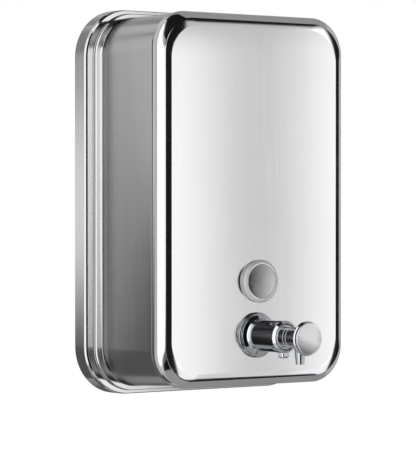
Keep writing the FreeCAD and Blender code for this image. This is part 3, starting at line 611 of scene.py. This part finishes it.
def build_front_cover():
    """Polished face with its rolled edge, and two holes through it."""
    skin = Skin((0, FRONT_Y, 0), (0, -1, 0), (1, 0, 0))
    face_metal, edge_metal = 0, 1
    edge = rolled_edge()
    width = edge[-1][0]
    half_width = COVER_HALF_WIDTH - width
    half_height = COVER_HALF_HEIGHT - width
    outline = pressed_outline([
        (0.0, COVER_HALF_WIDTH, COVER_HALF_HEIGHT, COVER_CORNER, COVER_RISE),
        (-width, half_width, half_height, COVER_CORNER - width * CORNER_SHARE, COVER_RISE)])
    outside = [(across - width, -along, math.sin(tilt), math.cos(tilt)) for across, along, tilt in edge]
    inside = [(across - SHEET * side, along - SHEET * ahead, -side, -ahead)
              for across, along, side, ahead in outside]
    skin.sweep([outside], outline, edge_metal)
    rim_end, inner_end = outside[-1], inside[-1]
    rear_edge = [(rim_end[0], rim_end[1], 0.0, -1.0), (inner_end[0], rim_end[1], 0.0, -1.0)]
    skin.sweep([rear_edge], outline, edge_metal)
    skin.sweep([inside], outline, edge_metal)

    def front(u, v):
        return skin.place(u, v, 0.0)

    def back(u, v):
        return skin.place(u, v, inside[0][1])

    holes = [flat_circle(radius, height, HOLE_SIDES) for height, radius in COVER_HOLES]
    skin.fill(front, skin.axis, flat_loop(outline, outside[0][0]), holes, face_metal,
              face_grid(half_width, half_height))
    skin.fill(back, -skin.axis, flat_loop(outline, inside[0][0]), holes, edge_metal)
    for loop in holes:
        skin.hole_wall(front, back, loop, edge_metal)
    crown_cover(skin)
    materials = [MIRROR_FACE, MIRROR_EDGE]
    return skin.make("front_cover_pressing", materials, "tank", "mirror_steel", "front_cover")


build_front_cover()


# ---- Tank shell ---------------------------------------------------------------------------

WALL_FRONT_DEPTH = 43.9                   # where the side wall ends, in millimetres from the wall
# Sections of the tank in millimetres: across, half width, half height, corner and rise.
TANK_SECTIONS = [
    (0.0, 57.5, 80.0, 20.3, 0.0),
    (-4.6, 52.9, 78.3, 18.2, 0.0),
    (-6.43, 51.07, 77.063, 17.12, -0.038),
    (-10.6, 46.9, 75.5, 14.1, 0.9),
]
# Profiles: across and depth in millimetres with the rounding at that point.
TANK_OUTSIDE = [
    (0.0, 0.0, 0.0), (0.0, 6.83, 0.25), (-0.57, 7.46, 0.2), (-1.2, 7.92, 0.2), (-4.25, 7.92, 0.3),
    (-4.25, 8.9, 0.15), (-4.7, 9.4, 0.2), (-7.2, 9.4, 0.3), (-10.6, WALL_FRONT_DEPTH, 0.0),
]
TANK_INSIDE = [
    (0.0, 0.0, 0.0), (0.0, 6.8, 0.0), (-4.6, 6.8, 0.0), (-4.6, 8.4, 0.0), (-6.33, 8.4, 0.0),
    (-10.6, WALL_FRONT_DEPTH, 0.0),
]
MOUTH_MIDDLE_DEPTH = 27.35
MOUTH_HALF_LENGTH = 9.75
MOUTH_HALF_WIDTH = 24.0
MOUTH_CORNER = 5.0
MOUTH_CORNER_STEPS = 8
LOCK_HOLE_DEPTH = 3.6 * MM
LOCK_HOLE_RADIUS = 2.05 * MM
LOCK_HOLE_SIDES = 24
TOP_SIDE = CORNER_STEPS                   # place of the straight top and bottom in an outline
BOTTOM_SIDE = 3 * CORNER_STEPS + 2


def inset_sections(inset):
    """The sections of the tank in metres, drawn in by an inset in millimetres."""
    rows = []
    for across, half_width, half_height, corner, rise in TANK_SECTIONS:
        row = (across, half_width - inset, half_height - inset, corner - inset, rise)
        rows.append(tuple(value * MM for value in row))
    return rows


def mouth_outline():
    """The opening under the fill lid, as points across the tank and by depth."""
    loop = []
    for quadrant, (side_u, side_v) in enumerate(QUADRANTS):
        for step in range(MOUTH_CORNER_STEPS + 1):
            turn = math.pi / 2 * (quadrant + step / MOUTH_CORNER_STEPS)
            u = side_u * (MOUTH_HALF_WIDTH - MOUTH_CORNER) + MOUTH_CORNER * math.cos(turn)
            v = side_v * (MOUTH_HALF_LENGTH - MOUTH_CORNER) + MOUTH_CORNER * math.sin(turn)
            loop.append((u * MM, (v + MOUTH_MIDDLE_DEPTH) * MM))
    return loop


def side_corners(outline, span, side):
    """The four corners (u, depth) and the two heights of one straight side of a span."""
    start, end = span[0], span[-1]
    first, second = outline(start[0])[side], outline(start[0])[side + 1]
    fourth, third = outline(end[0])[side], outline(end[0])[side + 1]
    loop = [(first[0], start[1]), (second[0], start[1]), (third[0], end[1]), (fourth[0], end[1])]
    return loop, first[1], fourth[1]


def sloping_side(start_height, slope, start_depth):
    """Turns (u, depth) into a point on a side whose height changes evenly with the depth."""

    def place(u, depth):
        return Vector((u, -depth, start_height + slope * (depth - start_depth)))

    return place


def build_tank_shell():
    """Rim, step and walls as one sheet, with the mouth in its top and the lock hole in its foot."""
    skin = Skin((0, 0, 0), (0, -1, 0), (1, 0, 0))
    mouth = mouth_outline()
    lock_hole = flat_circle(LOCK_HOLE_RADIUS, LOCK_HOLE_DEPTH, LOCK_HOLE_SIDES)
    places = {}
    ends = {}
    for name, profile, inset, facing in (("outside", TANK_OUTSIDE, 0.0, 1.0),
                                         ("inside", TANK_INSIDE, SHEET_MM, -1.0)):
        outline = pressed_outline(inset_sections(inset))
        spans = [[(across, along, facing * side, facing * ahead) for across, along, side, ahead in span]
                 for span in rounded_profile(profile)]
        rim, wall = spans[0], spans[-1]
        skin.sweep([rim], outline, left_out=BOTTOM_SIDE)
        skin.sweep(spans[1:-1], outline)
        skin.sweep([wall], outline, left_out=TOP_SIDE)
        for span, side, hole, way in ((wall, TOP_SIDE, mouth, 1.0), (rim, BOTTOM_SIDE, lock_hole, -1.0)):
            loop, start_height, end_height = side_corners(outline, span, side)
            start_depth, end_depth = span[0][1], span[-1][1]
            slope = (end_height - start_height) / (end_depth - start_depth)
            place = sloping_side(start_height, slope, start_depth)
            normal = (Vector((0, slope, 1)) * facing * way).normalized()
            skin.fill(place, normal, loop, [hole], 0)
            places[name, side] = place
        ends[name] = (outline(profile[0][0] * MM), outline(profile[-1][0] * MM))
    for side, hole in ((TOP_SIDE, mouth), (BOTTOM_SIDE, lock_hole)):
        skin.hole_wall(places["outside", side], places["inside", side], hole, 0)
    for end, depth, way in ((0, 0.0, -1.0), (1, WALL_FRONT_DEPTH * MM, 1.0)):
        outer, inner = ends["outside"][end], ends["inside"][end]
        for index in range(len(outer)):
            ahead = (index + 1) % len(outer)
            corners = [outer[index], outer[ahead], inner[ahead], inner[index]]
            skin.add_face([skin.place(u, v, depth) for u, v, _, _, _ in corners], [skin.axis * way] * 4, 0)
    return skin.make("tank_pressing", [TANK], "tank", "tank_steel", "body_shell")


build_tank_shell()


# ---- Turned pieces ------------------------------------------------------------------------
# Radii and distances forward of the front face, in millimetres.

GASKET_FACE = 0.8                         # the bezel sits on a washer as thick as this
FLANGE_RADIUS = 9.4
BARREL_RADIUS = 6.5
BARREL_START = 6.6                        # where the flange piece hands over to the barrel
BARREL_END = 17.0
SHANK_RADIUS = 5.5                        # of the part behind the front
SHANK_END = -25.0
SPIGOT_RADIUS = 5.6                       # the end of the barrel, inside the collar
SPIGOT_END = 18.0
COLLAR_RADIUS = 6.65
COLLAR_BORE = 4.45
COLLAR_FACE = 20.95
COLLAR_LIP = 20.6                         # where the collar's metal meets its ring of rubber, which also stands in for the recess's shade
BUTTON_RADIUS = 7.0
BUTTON_STEM_RADIUS = 2.15
BUTTON_STEM_END = 31.3
BUTTON_BACK = 33.9
BUTTON_RIM_RADIUS = 6.65
BUTTON_EDGE = 35.85
BEZEL_RADIUS = 8.9
BEZEL_BORE = 5.4
BEZEL_TUBE_END = -9.0
LENS_RADIUS = 7.0
LENS_BACK = 2.42
LENS_EDGE = 4.2
LENS_SAG = 1.7
DOME_STEPS = 12


def turned(height):
    """Empty skin about an axis that points forward at the given height."""
    return Skin((0, FRONT_Y, height), (0, -1, 0), (1, 0, 0))


def dome(radius_mm, edge_mm, sag_mm):
    """Span from the edge of a dome to its middle."""
    ball = (radius_mm * radius_mm + sag_mm * sag_mm) / (2 * sag_mm)
    reach = math.asin(radius_mm / ball)
    span = []
    for step in range(DOME_STEPS + 1):
        angle = reach * (1 - step / DOME_STEPS)
        along = edge_mm + ball * (math.cos(angle) - math.cos(reach))
        span.append((ball * math.sin(angle) * MM, along * MM, math.sin(angle), math.cos(angle)))
    return span


def build_valve_body():
    """Shank and stepped flange of the valve, up to the root of the barrel."""
    skin = turned(VALVE_Z)
    skin.sweep(rounded_profile([
        (2.5, SHANK_END, 0.0), (SHANK_RADIUS, SHANK_END, 0.3), (SHANK_RADIUS, 0.7, 0.0),
        (FLANGE_RADIUS, 0.7, 0.25), (FLANGE_RADIUS, 1.5, 0.35), (8.7, 2.0, 0.2), (8.55, 1.7, 0.0),
        (8.35, 1.7, 0.0), (8.35, 2.2, 0.2), (6.9, 3.3, 0.45), (BARREL_RADIUS, 3.8, 0.3),
        (BARREL_RADIUS, BARREL_START, 0.0), (4.6, BARREL_START, 0.0), (4.6, -22.0, 0.0), (2.5, -22.0, 0.0),
        (2.5, SHANK_END, 0.0)]), circle())
    return skin.make("valve_flange", [CHROME], "tank", "chrome_plate", "valve_body")


def build_barrel():
    """Plain barrel of the valve, with the spigot that the collar fits over."""
    skin = turned(VALVE_Z)
    skin.sweep(rounded_profile([
        (4.35, BARREL_START, 0.0), (BARREL_RADIUS, BARREL_START, 0.0), (BARREL_RADIUS, BARREL_END, 0.0),
        (SPIGOT_RADIUS, BARREL_END, 0.0), (SPIGOT_RADIUS, SPIGOT_END, 0.0), (4.35, SPIGOT_END, 0.0),
        (4.35, BARREL_START, 0.0)]), circle())
    return skin.make("valve_barrel", [CHROME], "tank", "chrome_plate", "valve_body")


def build_end_collar():
    """Collar on the end of the barrel, with a ring of black rubber let into its face that also stands in
    for its recess's shade.
    """
    skin = turned(VALVE_Z)
    rubber_and_painted_shade = 1
    skin.sweep(rounded_profile([
        (COLLAR_BORE, 18.6, 0.0), (5.7, 18.6, 0.0), (5.7, BARREL_END, 0.0),
        (COLLAR_RADIUS, BARREL_END, 0.12), (COLLAR_RADIUS, 20.0, 0.3), (5.8, COLLAR_FACE, 0.35),
        (5.5, COLLAR_FACE, 0.1), (5.5, COLLAR_LIP, 0.0)]), circle())
    # black rubber seal in the recess, its darkness also standing in for the recess's shade
    skin.sweep(rounded_profile([
        (5.5, COLLAR_LIP, 0.0), (5.5, 19.7, 0.0), (5.0, 19.7, 0.0), (5.0, 20.3, 0.0)]), circle(), rubber_and_painted_shade)
    skin.sweep(rounded_profile([
        (5.0, 20.3, 0.0), (5.0, 20.75, 0.2), (COLLAR_BORE, 20.75, 0.12),
        (COLLAR_BORE, 18.6, 0.0)]), circle())
    return skin.make("end_collar_turned", [CHROME, RUBBER], "tank", "chrome_plate", "end_collar")


def build_button():
    """Button with a chrome back and rim and a satin, slightly domed face."""
    skin = turned(VALVE_Z)
    chrome = 1
    skin.sweep(rounded_profile([
        (0.0, BUTTON_STEM_END, 0.0), (BUTTON_STEM_RADIUS, BUTTON_STEM_END, 0.3),
        (BUTTON_STEM_RADIUS, BUTTON_BACK, 0.0), (BUTTON_RADIUS, BUTTON_BACK, 0.12),
        (BUTTON_RADIUS, 34.35, 0.1), (BUTTON_RIM_RADIUS, 34.75, 0.1),
        (BUTTON_RIM_RADIUS, 35.4, 0.0)]), circle(), chrome)
    skin.sweep(rounded_profile([
        (BUTTON_RIM_RADIUS, 35.4, 0.0), (BUTTON_RIM_RADIUS, BUTTON_EDGE, 0.3), (6.2, 35.87, 0.0)]),
        circle(), chrome)
    skin.sweep([dome(6.35, BUTTON_EDGE, 0.3)], circle())
    return skin.make("push_button_turned", [BUTTON_FACE, CHROME], "plunger", "mirror_steel", "push_button")


def build_window_bezel():
    """Satin bezel and its tube through the front, with a brighter lip around the lens."""
    skin = turned(WINDOW_Z)
    lip = 1
    skin.sweep(rounded_profile([
        (BEZEL_BORE, BEZEL_TUBE_END, 0.0), (6.4, BEZEL_TUBE_END, 0.3), (6.4, GASKET_FACE, 0.0),
        (8.7, GASKET_FACE, 0.2), (BEZEL_RADIUS, 3.6, 0.6), (8.2, 4.45, 0.6), (7.5, 4.55, 0.0)]), circle())
    skin.sweep(rounded_profile([
        (7.5, 4.55, 0.0), (7.05, 4.5, 0.1), (7.05, 2.4, 0.0), (BEZEL_BORE, 2.4, 0.0),
        (BEZEL_BORE, BEZEL_TUBE_END, 0.0)]), circle(), lip)
    return skin.make("window_bezel_turned", [SATIN, BEZEL_LIP], "tank", "satin_bezel", "window_bezel")


def build_lens():
    """Domed lens with a flat back."""
    skin = turned(WINDOW_Z)
    radius, back, edge = LENS_RADIUS * MM, LENS_BACK * MM, LENS_EDGE * MM
    skin.sweep([[(0.0, back, 0.0, -1.0), (radius, back, 0.0, -1.0)]], circle())
    skin.sweep([[(radius, back, 1.0, 0.0), (radius, edge, 1.0, 0.0)]], circle())
    skin.sweep([dome(LENS_RADIUS, LENS_EDGE, LENS_SAG)], circle())
    return skin.make("window_lens_moulded", [LENS_PAINTED_SHADING], "tank", "smoked_lens", "window_lens")


# ---- Springs ------------------------------------------------------------------------------

STEPS_PER_TURN = 24
SIDES_OF_WIRE = 10
RETURN_COIL = {"coil_radius": 3.75 * MM, "wire_radius": 0.4 * MM, "turns": 9}
OUTLET_COIL = {"coil_radius": 1.25 * MM, "wire_radius": 0.28 * MM, "turns": 4}


def wind_spring(node, name, body, coil_radius, wire_radius, turns):
    """Round-wire spring along the valve's axis, as long as the node it stands for."""
    low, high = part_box(node)
    middle = Vector((0.0, (low[1] + high[1]) / 2, VALVE_Z))
    reach = high[1] - low[1] - 2 * wire_radius
    skin = Skin(middle, (0, 1, 0), (1, 0, 0))
    steps = turns * STEPS_PER_TURN

    def station(step, side):
        angle = 2 * math.pi * turns * step / steps
        swing = 2 * math.pi * side / SIDES_OF_WIRE
        outward = Vector((math.cos(angle), 0.0, math.sin(angle)))
        normal = outward * math.cos(swing) + Vector((0.0, math.sin(swing), 0.0))
        centre = middle + outward * coil_radius + Vector((0.0, reach * (step / steps - 0.5), 0.0))
        return centre + normal * wire_radius, normal

    for step in range(steps):
        for side in range(SIDES_OF_WIRE):
            corners = [station(step, side), station(step, side + 1),
                       station(step + 1, side + 1), station(step + 1, side)]
            skin.add_face([point for point, _ in corners], [normal for _, normal in corners], 0)
    return skin.make(name, [WIRE], body, "spring_steel", node), low, high


def squeeze(spring, low, high, held):
    """Gives a spring a mesh of its own; the spring is not shortened."""
    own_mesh(spring)


build_valve_body()
build_lens()
return_spring, low, high = wind_spring("return_spring", "return_spring_wound", "tank", **RETURN_COIL)
squeeze(return_spring, low, high, held=high[1])
outlet_spring, low, high = wind_spring("outlet_spring", "outlet_spring_wound", "plunger", **OUTLET_COIL)
squeeze(outlet_spring, low, high, held=low[1])
# The polished face mirrors the flange alone: these stay out of mirror images.
for unmirrored in [build_barrel(), build_end_collar(), build_button(), build_window_bezel(), return_spring,
                   outlet_spring, *nodes.values()]:
    unmirrored.visible_glossy = False


# ---- Studio -------------------------------------------------------------------------------

def ease(tree, value, start, end, low, high):
    """Smooth step from low to high as the value goes from start to end."""
    node = tree.nodes.new("ShaderNodeMapRange")
    node.interpolation_type = "SMOOTHSTEP"
    node.inputs["From Min"].default_value = start
    node.inputs["From Max"].default_value = end
    node.inputs["To Min"].default_value = low
    node.inputs["To Max"].default_value = high
    tree.links.new(value, node.inputs["Value"])
    return node.outputs["Result"]


def window_mask(tree, value, low, high, soft):
    """One between low and high, zero outside, with soft edges."""
    rise = ease(tree, value, low - soft / 2, low + soft / 2, 0.0, 1.0)
    fall = ease(tree, value, high - soft / 2, high + soft / 2, 1.0, 0.0)
    return math_node(tree, "MULTIPLY", rise, fall)


# Each card of the studio: azimuth from the front towards the right, elevation, softness of its
# edges (all in degrees) and its brightness. A later card lies over the ones before it. A card
# marked True has edges that lean sideways with the square of the elevation.
CARDS = [
    ((-200.0, -75.0), (-90.0, 0.5), 5.0, 0.075),       # dark lower wall behind, on the left
    ((-200.0, -75.0), (0.5, 90.0), 5.0, 0.58),         # its lighter upper part
    ((-120.0, -75.0), (-60.0, 60.0), 8.0, 0.50),       # grey wall beside the soft box
    ((-200.0, -147.0), (-33.0, 0.0), 6.0, 0.15),       # strip seen in the side of the rim
    ((-200.0, -147.0), (0.0, 33.0), 6.0, 0.28),
    ((-200.0, -140.0), (-2.2, 2.0), 3.2, 0.88),
    ((-200.0, -151.0), (-14.0, 14.0), 3.0, 0.08),      # dark line seen at the rear of the cover
    ((-200.0, -120.0), (-60.0, -9.0), 4.0, 0.105),
    ((56.0, 200.0), (-90.0, 90.0), 10.0, 0.45),        # light wall on the right
    ((130.0, 200.0), (-60.0, -6.0), 8.0, 0.12),        # its dark foot behind
    ((56.0, 200.0), (30.0, 76.0), 6.0, 0.30),
    ((56.0, 200.0), (-76.0, -30.0), 6.0, 0.28),
    ((-52.0, 60.0), (30.0, 90.0), 4.0, 0.01),          # black ceiling
    ((-52.0, 60.0), (-90.0, -30.0), 4.0, 0.30),        # dark floor
    ((-52.0, -14.0), (-45.0, 45.0), 4.0, 0.005),       # dark gap between the soft boxes
    ((-52.0, -41.0), (0.0, 60.0), 2.0, 0.36),          # greys seen at the foot of the side wall
    ((-52.0, -41.0), (-60.0, 0.0), 2.0, 0.14),
    ((-75.0, -50.5), (-62.0, 62.0), 3.0, 1.30, True),  # large soft box on the left, leaning in at both ends
    ((-75.0, -50.5), (-62.0, -34.0), 8.0, 0.50, True),
    ((-27.0, -15.0), (-3.0, 15.0), 2.5, 2.30),         # strip seen in the step by way of the side wall
    ((-14.0, 11.0), (-28.0, 28.0), 5.0, 0.80),         # fill in front
    ((-14.0, 11.0), (-28.0, -12.0), 5.0, 0.28),        # its foot
    ((11.0, 60.0), (17.0, 90.0), 3.0, 0.01),           # black flag over the face
    ((-180.0, 180.0), (76.0, 90.0), 2.0, 0.02),        # black disc overhead
    ((11.0, 60.0), (-60.0, -14.0), 4.0, 0.01),         # black flag under the face
    ((12.0, 56.0), (-14.0, 17.0), 2.0, 0.01),          # black flags beside the face
    ((26.5, 48.0), (6.5, 17.0), 2.0, 0.56),            # dimmer top of the card
    ((26.5, 48.0), (-14.5, 6.5), 1.5, 1.26),           # card seen in the front face
    ((34.6, 39.8), (-9.0, 9.0), 3.0, 0.45),            # its darker middle
    ((26.5, 48.0), (-14.5, -8.5), 1.5, 1.00),          # its foot
    ((34.0, 40.4), (-14.5, -8.5), 1.5, 0.70),
    ((11.0, 30.5), (8.0, 20.0), 1.5, 0.01),            # its cut corner
    ((41.5, 48.0), (1.0, 15.0), 3.0, 1.30),            # glow at its upper right
]
LEAN = 0.0065                             # degrees sideways for each square degree up or down
SKY = 0.85                                # brightness above and below the horizon where there is no card
GROUND = 0.45
HORIZON_BAND = 12.0                       # half the height of the band where they meet, in degrees
BACKDROP = 1.0                            # brightness of what the camera sees behind the object
WHITE = (1.0, 1.0, 1.0, 1.0)


def build_studio():
    """Light that depends on direction alone, behind a plain white backdrop."""
    world = bpy.data.worlds.new("studio")
    bpy.context.scene.world = world
    world.use_nodes = True
    tree = world.node_tree
    tree.nodes.clear()
    output = tree.nodes.new("ShaderNodeOutputWorld")
    direction = tree.nodes.new("ShaderNodeTexCoord").outputs["Generated"]
    parts = tree.nodes.new("ShaderNodeSeparateXYZ")
    tree.links.new(direction, parts.inputs["Vector"])
    front = math_node(tree, "MULTIPLY", parts.outputs["Y"], -1.0)
    around = math_node(tree, "ARCTAN2", parts.outputs["X"], front)
    azimuth = math_node(tree, "MULTIPLY", around, math.degrees(1.0))
    upward = math_node(tree, "ARCSINE", parts.outputs["Z"])
    elevation = math_node(tree, "MULTIPLY", upward, math.degrees(1.0))
    level = ease(tree, elevation, -HORIZON_BAND, HORIZON_BAND, GROUND, SKY)
    squared = math_node(tree, "MULTIPLY", elevation, elevation)
    leaning = math_node(tree, "SUBTRACT", azimuth, math_node(tree, "MULTIPLY", squared, LEAN))
    for (west, east), (low, high), soft, brightness, *leans in CARDS:
        sideways = window_mask(tree, leaning if leans else azimuth, west, east, soft)
        mask = math_node(tree, "MULTIPLY", sideways, window_mask(tree, elevation, low, high, soft))
        mix = tree.nodes.new("ShaderNodeMix")
        mix.data_type = "FLOAT"
        tree.links.new(mask, mix.inputs[0])
        tree.links.new(level, mix.inputs[2])
        mix.inputs[3].default_value = brightness
        level = mix.outputs[0]
    lit = tree.nodes.new("ShaderNodeBackground")
    lit.inputs["Color"].default_value = WHITE
    tree.links.new(level, lit.inputs["Strength"])
    seen = tree.nodes.new("ShaderNodeBackground")
    seen.inputs["Color"].default_value = WHITE
    seen.inputs["Strength"].default_value = BACKDROP
    path = tree.nodes.new("ShaderNodeLightPath")
    choose = tree.nodes.new("ShaderNodeMixShader")
    tree.links.new(path.outputs["Is Camera Ray"], choose.inputs["Fac"])
    tree.links.new(lit.outputs["Background"], choose.inputs[1])
    tree.links.new(seen.outputs["Background"], choose.inputs[2])
    tree.links.new(choose.outputs["Shader"], output.inputs["Surface"])


build_studio()
bpy.context.scene.view_settings.view_transform = "Standard"


FLOOR_HALF = 12.0
FLOOR_HEIGHT = -1.6
FLOOR_GLOW = 0.7
FLOOR_ROUGHNESS = 0.8
FLOOR_GRAIN = (0.002, 0.002, 0.002)


def build_floor():
    """Pale floor far below the object, which the metal doesn't mirror."""
    mesh = bpy.data.meshes.new("floor")
    corners = [(-FLOOR_HALF, -FLOOR_HALF, FLOOR_HEIGHT), (FLOOR_HALF, -FLOOR_HALF, FLOOR_HEIGHT),
               (FLOOR_HALF, FLOOR_HALF, FLOOR_HEIGHT), (-FLOOR_HALF, FLOOR_HALF, FLOOR_HEIGHT)]
    mesh.from_pydata(corners, [], [(0, 1, 2, 3)])
    floor = bpy.data.objects.new("floor", mesh)
    bpy.context.scene.collection.objects.link(floor)
    material, tree, shader = new_material("floor_paint")
    colour = blend_colour(tree, noise(tree, FLOOR_GRAIN), (0.86, 0.86, 0.86), (0.90, 0.90, 0.90))
    tree.links.new(colour, shader.inputs["Base Color"])
    shader.inputs["Roughness"].default_value = FLOOR_ROUGHNESS
    shader.inputs["Emission Color"].default_value = WHITE
    shader.inputs["Emission Strength"].default_value = FLOOR_GLOW
    mesh.materials.append(material)
    floor.visible_glossy = False
    floor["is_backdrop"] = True


build_floor()


CAMERA_PLACE = (-0.60705, -0.85321, 0.00004)
CAMERA_AZIMUTH = math.radians(35.9)       # how far it looks to the right of straight ahead
CAMERA_FALL = math.radians(0.75)          # and down
SENSOR_WIDTH = 36.0
FOCAL_LENGTH = 188.0


def build_camera():
    """Long lens to the left of the object, almost level with its middle."""
    data = bpy.data.cameras.new("camera")
    camera = bpy.data.objects.new("camera", data)
    bpy.context.scene.collection.objects.link(camera)
    level = math.cos(CAMERA_FALL)
    right = math.sin(CAMERA_AZIMUTH) * level
    ahead = math.cos(CAMERA_AZIMUTH) * level
    look = Vector((right, ahead, -math.sin(CAMERA_FALL)))
    camera.location = CAMERA_PLACE
    camera.rotation_mode = "QUATERNION"
    camera.rotation_quaternion = look.to_track_quat("-Z", "Y")
    data.sensor_width = SENSOR_WIDTH
    data.lens = FOCAL_LENGTH
    data.clip_start = 0.05
    data.clip_end = 20.0
    bpy.context.scene.camera = camera


build_camera()

low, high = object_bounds()
{"cad": [list(cad_low), list(cad_high)], "visual": [list(low), list(high)]}
